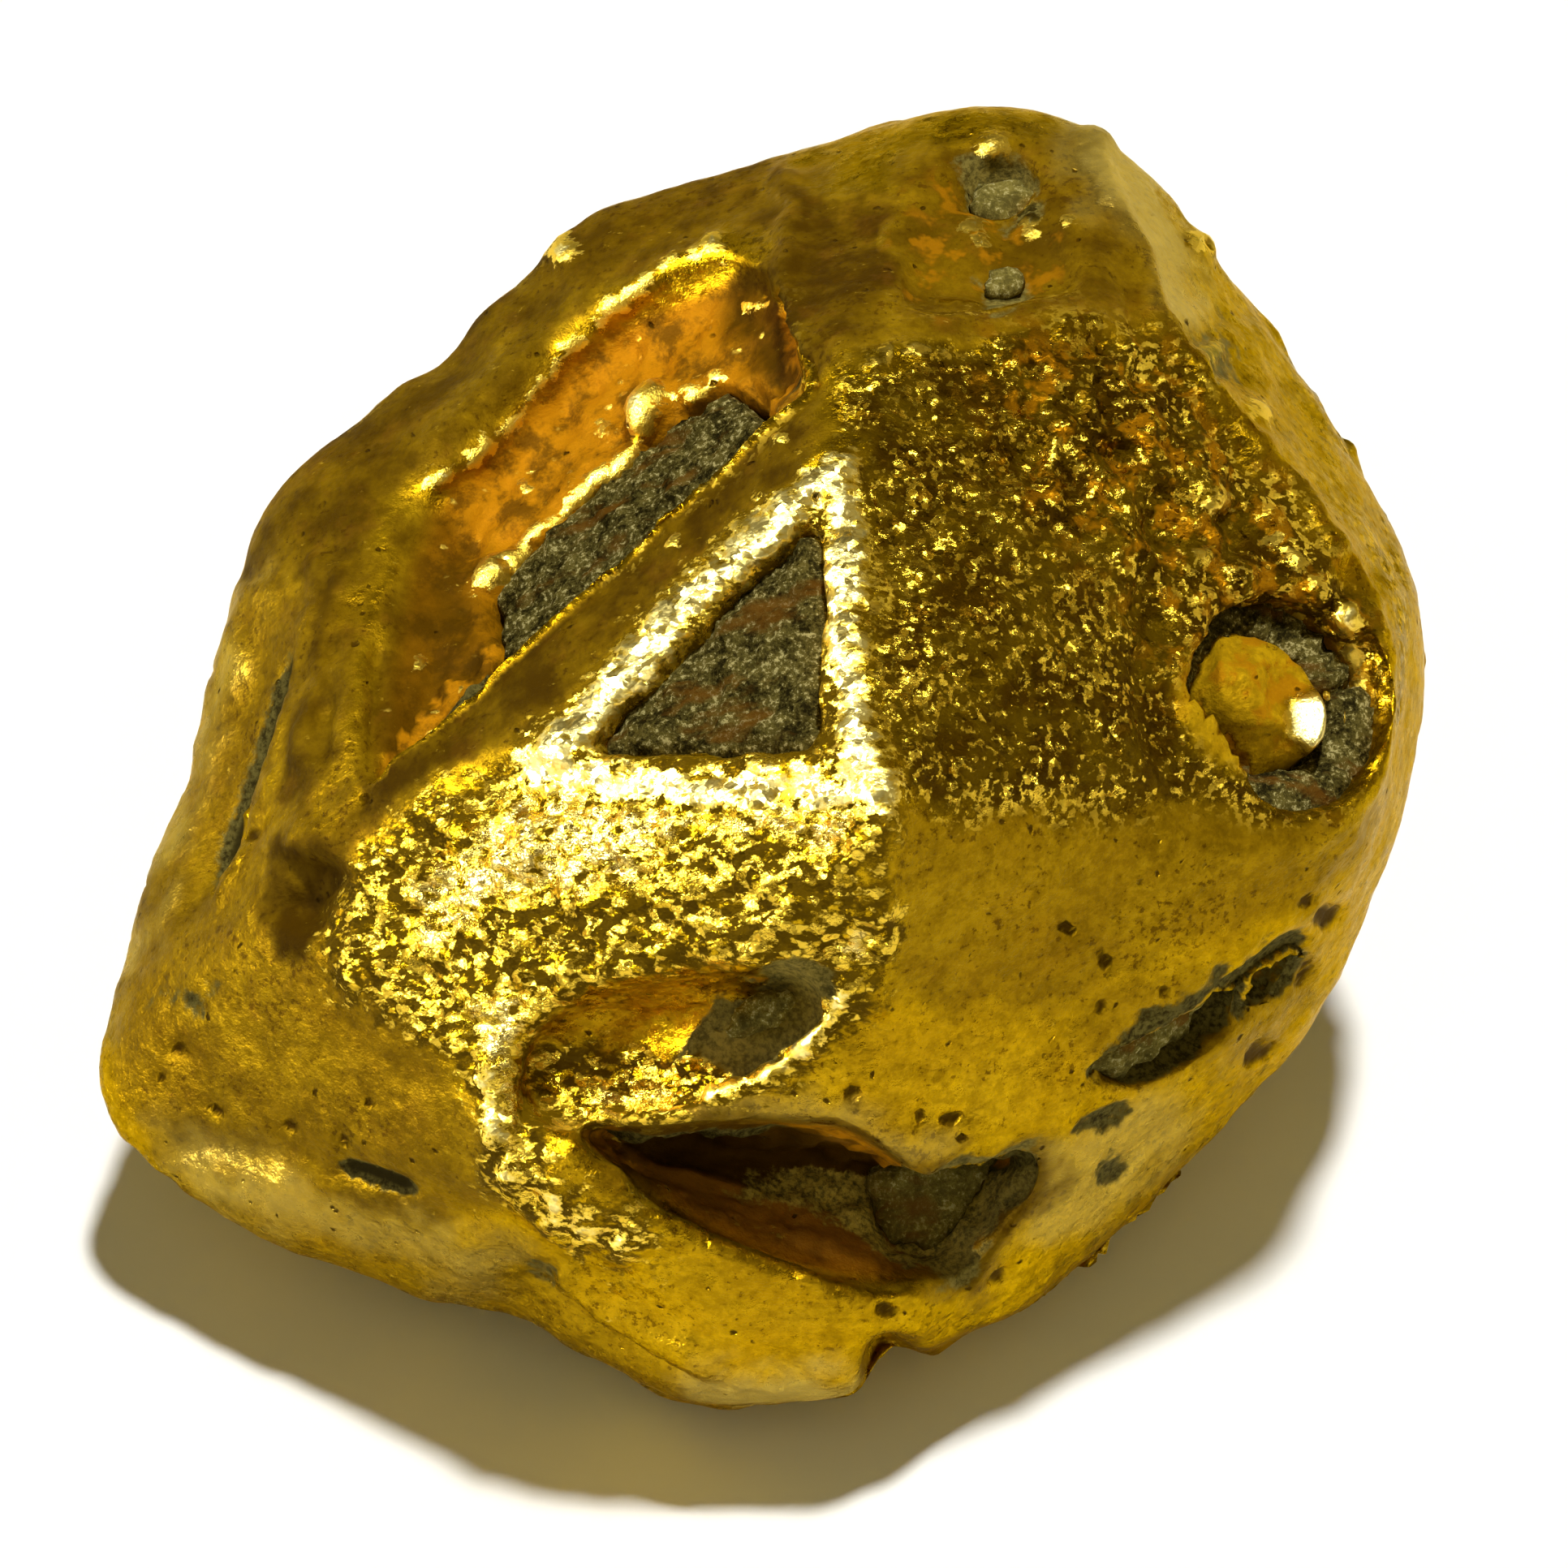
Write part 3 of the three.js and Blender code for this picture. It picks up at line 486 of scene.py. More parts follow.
class Carving:
    """A mesh being sculpted: points in the crystal's own axes, in millimetres."""

    def __init__(self, points, quads):
        self.points = points
        self.quads = quads
        pairs = np.concatenate([quads[:, [i, (i + 1) % 4]] for i in range(4)])
        self.edges = np.unique(np.sort(pairs, axis=1), axis=0)
        self.count = np.bincount(self.edges.ravel(), minlength=len(points)).clip(1)

    def average(self, values):
        """The mean of each point's neighbours."""
        a, b = self.edges.T
        total = np.bincount(a, values[b], len(values)) + np.bincount(b, values[a], len(values))
        return total / self.count

    def blur(self, values, passes):
        for _ in range(passes):
            values = 0.5 * values + 0.5 * self.average(values)
        return values

    def relax(self, passes, share=1.0):
        """Smooths the surface, all over or by a share at each point."""
        share = 0.5 * np.broadcast_to(share, len(self.points))
        for _ in range(passes):
            mean = np.stack([self.average(self.points[:, k]) for k in range(3)], axis=1)
            self.points = self.points + (mean - self.points) * share[:, None]

    def normals(self):
        p = self.points[self.quads]
        face = np.cross(p[:, 2] - p[:, 0], p[:, 3] - p[:, 1])
        total = np.stack([
            np.bincount(self.quads.ravel(), np.repeat(face[:, k], 4), len(self.points)) for k in range(3)
        ], axis=1)
        return total / np.linalg.norm(total, axis=1, keepdims=True).clip(1e-12)

    def drawn(self):
        """Each point as thrown onto the drawing plane from the eye."""
        reach = EYE_DISTANCE / (EYE_DISTANCE - self.points[:, 2])
        return self.points[:, :2] * reach[:, None]

    def in_sight(self):
        """1 for points that the eye sees, easing to 0 round the back and under overhangs."""
        cell, slack = 0.15, 0.45
        plane = np.floor(self.drawn() / cell).astype(int)
        plane -= plane.min(axis=0)
        key = plane[:, 0] * (plane[:, 1].max() + 1) + plane[:, 1]
        front = np.full(key.max() + 1, -1e9)
        np.maximum.at(front, key, self.points[:, 2])
        nearest = self.points[:, 2] > front[key] - slack
        return nearest * smoothstep(0.0, 0.2, self.normals()[:, 2])

    def lift(self, amount):
        self.points = self.points + self.normals() * np.broadcast_to(amount, len(self.points))[:, None]

    def keep_base_flat(self, skin):
        """Sets the resting face flat: nothing reaches below it."""
        lying = to_lying(self.points)
        lying[:, 2] = np.where(lying[:, 2] < skin, 0.0, lying[:, 2])
        self.points = to_own(lying)


NEARER_IS_FINER = 0.08       # how much finer the grid grows with each millimetre along own Z


def remeshed(node, grid):
    """A CAD node's shape as a mesh of quads, finer towards the proud corner, in its own axes."""
    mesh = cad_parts[node].data.copy()
    points = np.zeros(len(mesh.vertices) * 3)
    mesh.vertices.foreach_get("co", points)
    points = to_own(points.reshape(-1, 3) / MM)
    k = NEARER_IS_FINER
    points[:, :2] *= 1.0 + k * points[:, 2:]
    points[:, 2] += 0.5 * k * points[:, 2] ** 2
    mesh.vertices.foreach_set("co", points.ravel())
    mesh.update()
    work = bpy.data.objects.new("work", mesh)
    bpy.context.scene.collection.objects.link(work)
    weld = work.modifiers.new("weld", "WELD")
    weld.merge_threshold = 0.0005
    even = work.modifiers.new("even", "REMESH")
    even.mode = "VOXEL"
    even.voxel_size = grid
    graph = bpy.context.evaluated_depsgraph_get()
    made = work.evaluated_get(graph).to_mesh()
    points = np.zeros(len(made.vertices) * 3)
    made.vertices.foreach_get("co", points)
    quads = np.zeros(len(made.loops), np.int32)
    made.loops.foreach_get("vertex_index", quads)
    if len(quads) != 4 * len(made.polygons) or not len(quads):
        raise RuntimeError(f"{node} didn't remesh into quads")
    work.evaluated_get(graph).to_mesh_clear()
    bpy.data.objects.remove(work)
    bpy.data.meshes.remove(mesh)
    points = points.reshape(-1, 3)
    points[:, 2] = (np.sqrt(1.0 + 2.0 * k * points[:, 2]) - 1.0) / k
    points[:, :2] /= 1.0 + k * points[:, 2:]
    return Carving(*largest_part(points, quads.reshape(-1, 4).astype(int)))


def largest_part(points, quads):
    """The largest joined part of a mesh, without the crumbs that remeshing can leave."""
    part = np.arange(len(points))
    while True:
        spread = part.copy()
        np.minimum.at(spread, quads, part[quads].min(axis=1, keepdims=True))
        spread = spread[spread]
        if (spread == part).all():
            break
        part = spread
    kept = part == np.bincount(part).argmax()
    return points[kept], (np.cumsum(kept) - 1)[quads[kept[quads[:, 0]]]]


def hull_depth(points):
    """How far each point lies below the convex hull of them all."""
    shell = bmesh.new()
    for p in points[::8]:
        shell.verts.new(p)
    bmesh.ops.convex_hull(shell, input=shell.verts)
    shell.normal_update()
    planes = [(f.normal.copy(), f.normal.dot(f.verts[0].co)) for f in shell.faces if f.calc_area() > 1e-3]
    shell.free()
    depth = np.full(len(points), 1e9)
    for normal, reach in planes:
        depth = np.minimum(depth, reach - points @ np.array(normal))
    return depth.clip(0.0)


def as_object(name, carving, attributes, material):
    """The finished carving as a smooth-shaded object, in metres, with its surface attributes."""
    mesh = bpy.data.meshes.new(name)
    mesh.from_pydata((to_lying(carving.points) * MM).tolist(), [], carving.quads.tolist())
    for key, values in attributes.items():
        layer = mesh.attributes.new(key, "FLOAT", "POINT")
        layer.data.foreach_set("value", np.asarray(values, np.float32))
    mesh.shade_smooth()
    mesh.materials.append(material)
    made = bpy.data.objects.new(name, mesh)
    bpy.context.scene.collection.objects.link(made)
    return made


def widen_round_pit(carving):
    """Stretches the round pit about its middle, fading out beyond its rim."""
    off = carving.points[:, :2] - PIT_MIDDLE
    share = smoothstep(2.4, 1.0, np.hypot(*(off / PIT_HALF).T)) * (carving.points[:, 2] > 0)
    carving.points[:, :2] += share[:, None] * (off * PIT_STRETCH + PIT_SHIFT)
    off = carving.points[:, :2] - KNOB_FROM
    share = smoothstep(KNOB_REACH, 0.75 * KNOB_REACH, np.hypot(*off.T)) * (carving.points[:, 2] > 0)
    squeeze = -0.3 * (off @ KNOB_ACROSS)[:, None] * KNOB_ACROSS
    carving.points[:, :2] += share[:, None] * (squeeze + KNOB_SHIFT)


def cut_facet(carving, sight):
    """Lays a flat facet over the knob's low end."""
    own = carving.points
    crown = own[np.hypot(*(own[:, :2] - KNOB_MIDDLE).T) < 0.4 * KNOB_REACH, 2].max()
    off = own[:, :2] - FACET_MIDDLE
    near = smoothstep(1.7 * FACET_REACH, FACET_REACH, np.hypot(*off.T)) * (sight > 0.05)
    own[:, 2] += near * (crown - FACET_DROP + off @ FACET_RISE - own[:, 2])
    return near


def beads_along(path, spacing, seed):
    """Places of beads strung unevenly along a path, with a size for each."""
    path = np.array(path, float)
    run = np.concatenate([[0.0], np.cumsum(np.hypot(*np.diff(path, axis=0).T))])
    steps = np.arange(0.5 * spacing, run[-1], spacing)
    wander = lattice_noise(np.stack([steps * 7.7, steps * 3.1, 0 * steps], axis=1), seed)
    steps = steps + 0.4 * spacing * wander
    size = 0.95 + 0.4 * lattice_noise(np.stack([steps * 5.3, 0 * steps, steps * 2.9], axis=1), seed + 1)
    return zip(np.interp(steps, run, path[:, 0]), np.interp(steps, run, path[:, 1]), size)


class Drawing:
    """How the drawn lines and patches fall on a carving, point by point."""

    def __init__(self, carving, depth, away):
        self.plane, self.sight = carving.drawn(), carving.in_sight()
        self.points, self.depth, self.away = carving.points.copy(), depth, away
        stray = [RAGGED * rough(self.points, 0.5, 4, seed, 0.6) for seed in (41, 47)]
        self.ragged = self.plane + np.stack(stray, axis=1)
        self.frayed = 0.5 * self.plane + 0.5 * self.ragged
        self.open_face = 1.0 - smoothstep(0.25, 0.45, depth)
        self.on_knob = self.sight * smoothstep(
            KNOB_REACH, 0.8 * KNOB_REACH, np.hypot(*(self.plane - KNOB_MIDDLE).T))
        self.pitted = np.maximum(self.sight, (depth > 0.1) * smoothstep(0.3, 0.6, self.points[:, 2]))

    def torn(self, outlines, soft):
        """Patches in sight, with ragged edges."""
        return patch(self.ragged, outlines, soft) * self.sight

    def clean(self, outlines, soft):
        """Patches in sight, with clean edges."""
        return patch(self.plane, outlines, soft) * self.sight


def wear_hidden_side(carving, depth):
    """Softens and warps what the eye can't see, and tells how far round the back each point is."""
    away = smoothstep(0.8, 1.0, 1.0 - carving.blur(carving.in_sight(), 40))
    away *= smoothstep(0.0, 0.6, to_lying(carving.points)[:, 2])
    carving.relax(25, away * smoothstep(0.02, 0.1, carving.blur(depth, 10)))
    warp = [HIDDEN_WARP * rough(carving.points, 1.0, 2, seed) for seed in (71, 77, 83)]
    carving.points += away[:, None] * np.stack(warp, axis=1)
    return away


def mark_surface(carving, drawing):
    """How much of each kind of surface every point has."""
    points, depth, away = drawing.points, drawing.depth, drawing.away
    patchy = smoothstep(0.05, 0.5, rough(points, 2.4, 5, 31, 0.65))
    hidden = (1.0 - carving.blur(drawing.sight, 20)) * patchy
    packed = smoothstep(0.3, 0.45, depth + 0.15 * rough(points, 0.5, 3, 91)) * smoothstep(0.3, 0.8, away)
    off_knob = 1.0 - drawing.on_knob
    return {
        "bright": drawing.torn(FROSTED, 0.3) * drawing.open_face,
        "spangled": np.maximum(drawing.torn(SPANGLED, 0.2), hidden) * drawing.open_face * off_knob,
        "stain_and_shade": drawing.torn(STAIN_AND_SHADE, 0.22) * off_knob,
        "dust_and_sheen": drawing.torn(DUST_AND_SHEEN, 0.2),
        "silted": np.maximum(patch(drawing.ragged, SILTED, 0.12) * drawing.pitted, packed),
        "lightened_groove": within(drawing.ragged, GROOVE, 0.15) * smoothstep(0.25, 0.7, depth) * drawing.sight,
    }


def shape_faces(carving, drawing):
    """Rolls, creases, dishes and wear. Gives how far each point lies in a dish."""
    plane, depth = drawing.plane, drawing.depth
    for path, reach, drop, side in ROLLS.values():
        gap, along, run, hand = distance_to_path(plane, path)
        inward = gap * hand * side
        share = (1.0 - inward / reach).clip(0.0) ** 2 * smoothstep(-0.4, 0.0, inward)
        carving.lift(-drop * share * tapered(along, run, 0.4) * drawing.sight * (depth < 0.6))
    for path, width, height in EDGES.values():
        gap, along, run, _ = distance_to_path(plane, path)
        near = np.exp(-gap / width) * tapered(along, run, 0.3)
        carving.lift(height * near * drawing.sight * drawing.open_face)
    dished = np.zeros(len(plane))
    for outline, low_depth, high_depth in DISHES.values():
        heights = [y for x, y in outline]
        rise = smoothstep(min(heights), max(heights), plane[:, 1])
        share = within(plane, outline, 0.16) * drawing.sight
        sunk = low_depth + (high_depth - low_depth) * rise
        carving.lift(-share * sunk * (1.0 - smoothstep(0.1, 0.6, depth)))
        dished = np.maximum(dished, share)
    carving.relax(10, dished)
    carving.relax(30, drawing.clean(SOFTENED, 0.2) * smoothstep(0.1, 0.3, depth))
    carving.relax(90, drawing.clean(WORN, 0.2))
    return dished


def lay_relief(carving, drawing, marks, lumps, dished, facet):
    """Waviness, dents, lumps and small steps, each on its own kind of surface."""
    points, away = drawing.points, drawing.away
    x, y, z = points.T
    cosine, sine = STEPS_SLANT
    aslant = np.stack([cosine * x - sine * y, STEPS_STRETCH * (sine * x + cosine * y), z], axis=1)
    hollow = smoothstep(0.3, 0.6, drawing.depth) * (1.0 - 0.6 * dished) * (1.0 - drawing.on_knob)
    shares = {"everywhere": 1.0, "away": away, "hollow": hollow, "lumps": lumps, **marks}
    relief = -HIDDEN_DENTS * away * smoothstep(0.45, 0.9, rough(points, 0.8, 3, 95, 0.6))
    relief -= SILT_SUNK * marks["silted"] * drawing.open_face
    for kind, layers in RELIEF.items():
        for height, *noise in layers:
            relief += shares[kind] * height * rough(aslant if kind == "bright" else points, *noise)
    for kind, (height, size, seed) in LUMPS.items():
        relief += shares[kind] * height * lumpy(points, size, seed)
    above_base = smoothstep(0.0, 0.4, to_lying(carving.points)[:, 2])
    carving.lift(relief * above_base * (1.0 - facet))


def raise_ridges(carving, drawing):
    """Raises the ridges and tells how much bright gold and painted highlight each point gets from a rim.
    """
    rim = np.zeros(len(drawing.points))
    for path, width, height, beading, shine in RIDGES.values():
        gap, along, run, _ = distance_to_path(0.6 * drawing.plane + 0.4 * drawing.ragged, path)
        places = np.stack([along, 0 * along, 0 * along], axis=1) / 0.13
        beads = 1.0 - beading * 0.5 * (1.0 + lattice_noise(places, 8))
        ends = 1.0 if path[0] == path[-1] else tapered(along, run, 0.15)
        near = np.exp(-(gap / width) ** 2) * drawing.sight * beads * ends
        carving.lift(height * near)
        rim = np.maximum(rim, shine * near)
    return rim


def raise_beads(carving, drawing):
    """Raises the beads and tells how far each point lies on one."""
    beaded = np.zeros(len(drawing.points))
    strung = [(x, y, radius * size) for number, (path, spacing, radius) in enumerate(BEADED.values())
              for x, y, size in beads_along(path, spacing, 60 + number)]
    for x, y, radius in BEADS + strung:
        near = spot(drawing.frayed, (x, y), radius) * drawing.sight
        carving.lift(0.8 * radius * near)
        beaded = np.maximum(beaded, near)
    return beaded


def cut_lines(carving, drawing):
    """Cuts the slits and folds and tells how full of silt each point is."""
    silted = np.zeros(len(drawing.points))
    for path, width, cut, fill in CUTS.values():
        gap, along, run, _ = distance_to_path(drawing.plane, path)
        ends = tapered(along, run, 0.25 * run)
        carving.lift(-cut * np.exp(-(gap / width) ** 2) * ends * drawing.sight)
        filled = np.exp(-(gap / (width * (0.3 + 0.7 * ends))) ** 2)
        silted = np.maximum(silted, fill * filled * ends * drawing.sight)
    return silted


def prick_pinholes(carving, drawing):
    """Sinks the pinholes and tells how much painted shade each point gets from them and from under the
    groove's lip.
    """
    shade = patch(drawing.plane, GROOVE_SHADE, 0.1) * smoothstep(0.04, 0.2, drawing.depth)
    pinholes_and_shade = 0.9 * shade * drawing.pitted
    for x, y, radius in PINHOLES:
        near = spot(drawing.frayed, (x, y), radius) * drawing.sight
        carving.lift(-0.9 * radius * near)
        pinholes_and_shade = np.maximum(pinholes_and_shade, near)
    return pinholes_and_shade


def sculpt_crystal(shape):
    """The sculpted crystal, and how much of each kind of surface every point has."""
    carving = remeshed("gold_crystal", shape.grid / MM)
    depth = hull_depth(carving.points)
    widen_round_pit(carving)
    away = wear_hidden_side(carving, depth)
    carving.relax(shape.edge_wear)
    drawing = Drawing(carving, depth, away)
    marks = mark_surface(carving, drawing)
    dished = shape_faces(carving, drawing)
    marks["bright"] = np.maximum(marks["bright"] * (1.0 - 0.85 * dished), drawing.torn(GLITTERING, 0.3))
    facet = cut_facet(carving, drawing.sight)
    lumps = drawing.clean(LUMPY, 0.4) * drawing.open_face
    lay_relief(carving, drawing, marks, lumps, dished, facet)
    marks["rim"] = raise_ridges(carving, drawing)
    marks["beaded"] = np.maximum(facet, raise_beads(carving, drawing))
    marks["silted"] = np.maximum(marks["silted"], cut_lines(carving, drawing))
    marks["pinholes_and_shade"] = prick_pinholes(carving, drawing)
    for x, y, radius, cut in NOTCHES:
        carving.lift(-cut * spot(drawing.plane, (x, y), radius))
    carving.relax(1)
    carving.keep_base_flat(BASE_SKIN)
    marks["depth"] = depth * (1.0 - 0.75 * dished) * (1.0 - drawing.on_knob)
    # Silt is painted paler in a few patches and all through the groove, where the paleness is painted
    # light against its shade.
    paler = drawing.clean({name: SILTED[name] for name in PALE_PATCHES}, 0.3)
    marks["pale"] = np.maximum(marks["lightened_groove"], paler)
    marks["knob"] = drawing.on_knob * (1.0 - facet)
    marks["orange_flecked"] = np.maximum(lumps, drawing.torn(ORANGE_FLECKED, 0.2))
    return carving, marks


# ------------------------------------------------------------------ materials

class Value:
    """What a node gives out. Sums, differences and products of values become Math nodes."""

    def __init__(self, paint, socket):
        self.paint, self.socket = paint, socket

    def __add__(self, other):
        return self.paint.math("ADD", self, other)

    def __sub__(self, other):
        return self.paint.math("SUBTRACT", self, other)

    def __rsub__(self, other):
        return self.paint.math("SUBTRACT", other, self)

    def __mul__(self, other):
        return self.paint.math("MULTIPLY", self, other)


class Paint:
    """Short hands for building a node material."""

    def __init__(self, name):
        self.material = bpy.data.materials.new(name)
        self.material.use_nodes = True
        self.tree = self.material.node_tree
        self.inputs = self.tree.nodes["Principled BSDF"].inputs
        self.mm = self.vector("SCALE", self.node("TexCoord", "Object"), scale=1.0 / MM)   # place, in mm

    def put(self, value, socket):
        """Links a value to a socket, or sets it to a number, colour or vector."""
        if isinstance(value, Value):
            self.tree.links.new(value.socket, socket)
        elif value is not None and socket.type == "RGBA":
            socket.default_value = (*value, 1.0)
        elif value is not None:
            socket.default_value = value

    def surface(self, **inputs):
        """Fills the shader's sockets, with _ for each space in a socket's name."""
        for name, value in inputs.items():
            self.put(value, self.inputs[name.replace("_", " ")])

    def node(self, kind, output, inputs=None, **settings):
        """Adds a node, makes its settings, fills its inputs and gives one of its outputs."""
        node = self.tree.nodes.new("ShaderNode" + kind)
        for name, value in settings.items():
            setattr(node, name, value)
        for name, value in (inputs or {}).items():
            self.put(value, node.inputs[name])
        return Value(self, node.outputs[output])

    def vector(self, operation, a, b=None, scale=None):
        inputs = {0: a, 1: b} if scale is None else {0: a, "Scale": scale}
        return self.node("VectorMath", "Vector", inputs, operation=operation)

    def noise(self, size, detail=3.0, roughness=0.5, vector=None, output="Fac"):
        return self.node("TexNoise", output, {
            "Vector": vector or self.mm, "Scale": 1.0 / size, "Detail": detail, "Roughness": roughness})

    def cells(self, size, output="Distance", vector=None, feature="F1"):
        inputs = {"Vector": vector or self.mm, "Scale": 1.0 / size}
        return self.node("TexVoronoi", output, inputs, feature=feature)

    def strayed(self, vector, size, detail, reach):
        """A place pushed about by noise."""
        push = self.vector("SCALE", self.noise(size, detail, output="Color"), scale=reach)
        return self.vector("ADD", vector, push)

    def stretched(self, scale, degrees):
        turn = (0.0, 0.0, math.radians(degrees))
        return self.node("Mapping", "Vector", {"Scale": scale, "Rotation": turn, "Vector": self.mm})

    def math(self, operation, a, b):
        return self.node("Math", 0, {0: a, 1: b}, operation=operation)

    def most(self, *values):
        return functools.reduce(functools.partial(self.math, "MAXIMUM"), values)

    def ramp(self, value, low, high, out_low=0.0, out_high=1.0):
        return self.node("MapRange", "Result", {
            "Value": value, "From Min": low, "From Max": high, "To Min": out_low, "To Max": out_high,
        }, interpolation_type="SMOOTHSTEP")

    def mix(self, factor, a, b):
        return self.node("Mix", "Result", {"Factor": factor, "A": a, "B": b}, data_type="RGBA")

    def bump(self, height, distance, strength=1.0, under=None):
        return self.node("Bump", "Normal", {
            "Height": height, "Distance": distance, "Strength": strength, "Normal": under})


def gold_material(finish):
    """Worn native gold. The numbers in noise() and cells() are sizes in millimetres, then detail."""
    paint = Paint("worn native gold")
    noise, cells, ramp, mix, most = paint.noise, paint.cells, paint.ramp, paint.mix, paint.most
    depth, bright, spangled, rim, beaded, silted, pinholes_and_shade, stain_and_shade, lightened_groove, dust_and_sheen, pale, knob, orange_flecked = (
        paint.node("Attribute", "Fac", attribute_name=name) for name in (
            "depth", "bright", "spangled", "rim", "beaded", "silted", "pinholes_and_shade", "stain_and_shade", "lightened_groove",
            "dust_and_sheen", "pale", "knob", "orange_flecked"))

    # Satin gold, mottled at three sizes.
    colour = mix(ramp(noise(1.3, 4.0, 0.6), 0.38, 0.62), finish.gold, finish.old_gold)
    speck = ramp(noise(0.3, 5.0, 0.75), 0.46, 0.68)
    colour = mix(speck * 0.5, colour, finish.tarnish)
    mottle = ramp(noise(0.11, 3.0, 0.7), 0.38, 0.62)
    colour = mix(mottle * 0.4, colour, finish.tarnish)
    strewn = (noise(0.9, 4.0, 0.7) - 0.5) * 0.5
    grain = ramp(noise(0.075, 3.0, 0.7) + strewn, 0.60, 0.68)
    colour = mix(grain * 0.7, colour, finish.stain)
    # Pale dust on worn edges, and painted sheen along the outline and the low edges.
    colour = mix(dust_and_sheen * 0.8, colour, finish.dust_sheen_colour)

    # Orange gold down in the hollows, painted to stand in for the light that bounces inside them, blotched
    # with brown, and brown film on the stained faces, which is partly painted shade.
    hollow = ramp(depth, 0.15, 0.42)
    colour = mix(hollow, colour, finish.bounce_orange_gold)
    blotch = ramp(noise(0.4, 5.0, 0.7), 0.44, 0.62)
    colour = mix(blotch * hollow * 0.8, colour, finish.stain)
    uneven = ramp(noise(0.6, 4.0, 0.6), 0.3, 0.65, 0.72, 1.0)
    brown = mix(ramp(noise(0.5, 4.0, 0.7), 0.52, 0.66, 0.0, 0.8), finish.film_and_shade, finish.stain)
    colour = mix(stain_and_shade * uneven, colour, brown)
    colour = mix(lightened_groove, colour, finish.lightened_groove)

    # Frosted faces: pale flakes with dull dark gold in the gaps between them, painted as the shade in
    # those gaps.
    aslant = paint.stretched((0.68, 1.3, 1.0), 35)
    flakes = noise(0.115, 4.0, 0.65, aslant)
    bent = paint.strayed(aslant, 0.12, 2.0, 0.12)
    each = cells(0.09, "Color", bent)
    seam = ramp(cells(0.09, "Distance", bent, "DISTANCE_TO_EDGE"), 0.0, 0.10, 0.35, 1.0)
    flaked = ramp(each * 0.3 + flakes + bright * 0.36, 0.80, 0.90) * seam
    frost = ramp(bright * 0.9 + flakes, 0.62, 0.86)
    # Painted highlight: the flakes of the brightest band, where the left softbox is mirrored, are painted
    # near white.
    whiter = ramp(bright, 0.78, 1.05) * ramp(flakes, 0.42, 0.56)
    flake_colour = mix(ramp(each, 0.3, 0.7), finish.gold, finish.pale_gold)
    flake_colour = mix(whiter, flake_colour, finish.highlight_white_gold)
    colour = mix(frost, colour, mix(flaked, finish.gap, flake_colour))
    shaded_gaps = frost * (1.0 - flaked)

    # Spangled faces: small round sparks on dull dark gold that is painted shade between them, with orange
    # in the lumps' creases.
    crowding = (noise(0.7, 3.0, 0.6) - 0.5) * 0.45
    sparks = ramp(noise(0.085, 2.0, 0.6) + crowding, 0.53, 0.60)
    brown = mix(ramp(noise(0.5, 4.0, 0.65), 0.4, 0.6), finish.film_and_shade, finish.gap)
    colour = mix(spangled, colour, mix(sparks, brown, finish.pale_gold))
    shaded_gaps = most(shaded_gaps, spangled * ramp(sparks, 0.0, 1.0, 0.6, 0.0))
    # The orange flecks are the painted bounce orange of the hollows.
    rust = orange_flecked * ramp(noise(0.3, 3.0, 0.6), 0.5, 0.62, 0.0, 0.7)
    colour = mix(rust, colour, finish.bounce_orange_gold)

    # Solid bright gold, partly painted highlight, on the pits' raised rims, on the beads and on a few
    # grains in the hollows, and painted highlight near white on the whitest rims, the beads' crowns and
    # the knob's facet.
    torn = (flakes - 0.5) * 2.0
    solid = most(ramp(rim + torn, 0.42, 0.54), ramp(beaded + torn, 0.4, 0.6))
    solid = solid * ramp(most(rim, beaded), 0.1, 0.25)
    loose = ramp(cells(0.22, vector=bent), 0.10, 0.20, 1.0, 0.0) * ramp(noise(0.5, 2.0), 0.5, 0.6)
    solid = most(solid, loose * (hollow - lightened_groove))
    whitest = most(ramp(rim + torn, 0.55, 0.85), ramp(beaded, 0.88, 0.98))
    colour = mix(solid, colour, mix(whitest, finish.bright_gold, finish.highlight_white_gold))

    # Pinholes on the satin faces, darkened with painted shade, as is the groove under its upper lip, and
    # silt packed into the slits.
    frosted = most(bright, spangled)
    satin = ramp(frosted, 0.1, 0.5, 1.0, 0.0)
    rare = ramp(noise(0.7, 2.0), 0.40, 0.52)
    pins_and_shade = ramp(cells(0.3, vector=paint.strayed(paint.mm, 0.2, 3.0, 0.2)), 0.05, 0.12, 1.0, 0.0)
    pins_and_shade = most(pins_and_shade * rare * satin, ramp(pinholes_and_shade, 0.35, 0.85))
    colour = mix(pins_and_shade * 0.95, colour, finish.film_and_shade)
    fill = ramp(silted + (noise(0.12, 4.0, 0.7) - 0.5) * 1.2, 0.25, 0.75) * ramp(silted, 0.0, 0.25)
    # Painted shade and light in the silt: darker where it fills a slit fully, paler and brighter in the
    # groove, against the shade there.
    packed = mix(ramp(silted, 1.0, 1.4), finish.slit_light, finish.slit_dark)
    packed = mix(pale, packed, finish.pale_and_lightened_silt)
    packed = paint.vector("SCALE", packed, scale=lightened_groove * 0.7 + 1.0)
    shaded = mix(pale, finish.slit_dark, finish.slit_light)
    silt = mix(ramp(noise(0.06, 4.0, 0.7), 0.36, 0.62), shaded, packed)
    colour = mix(fill, colour, silt)

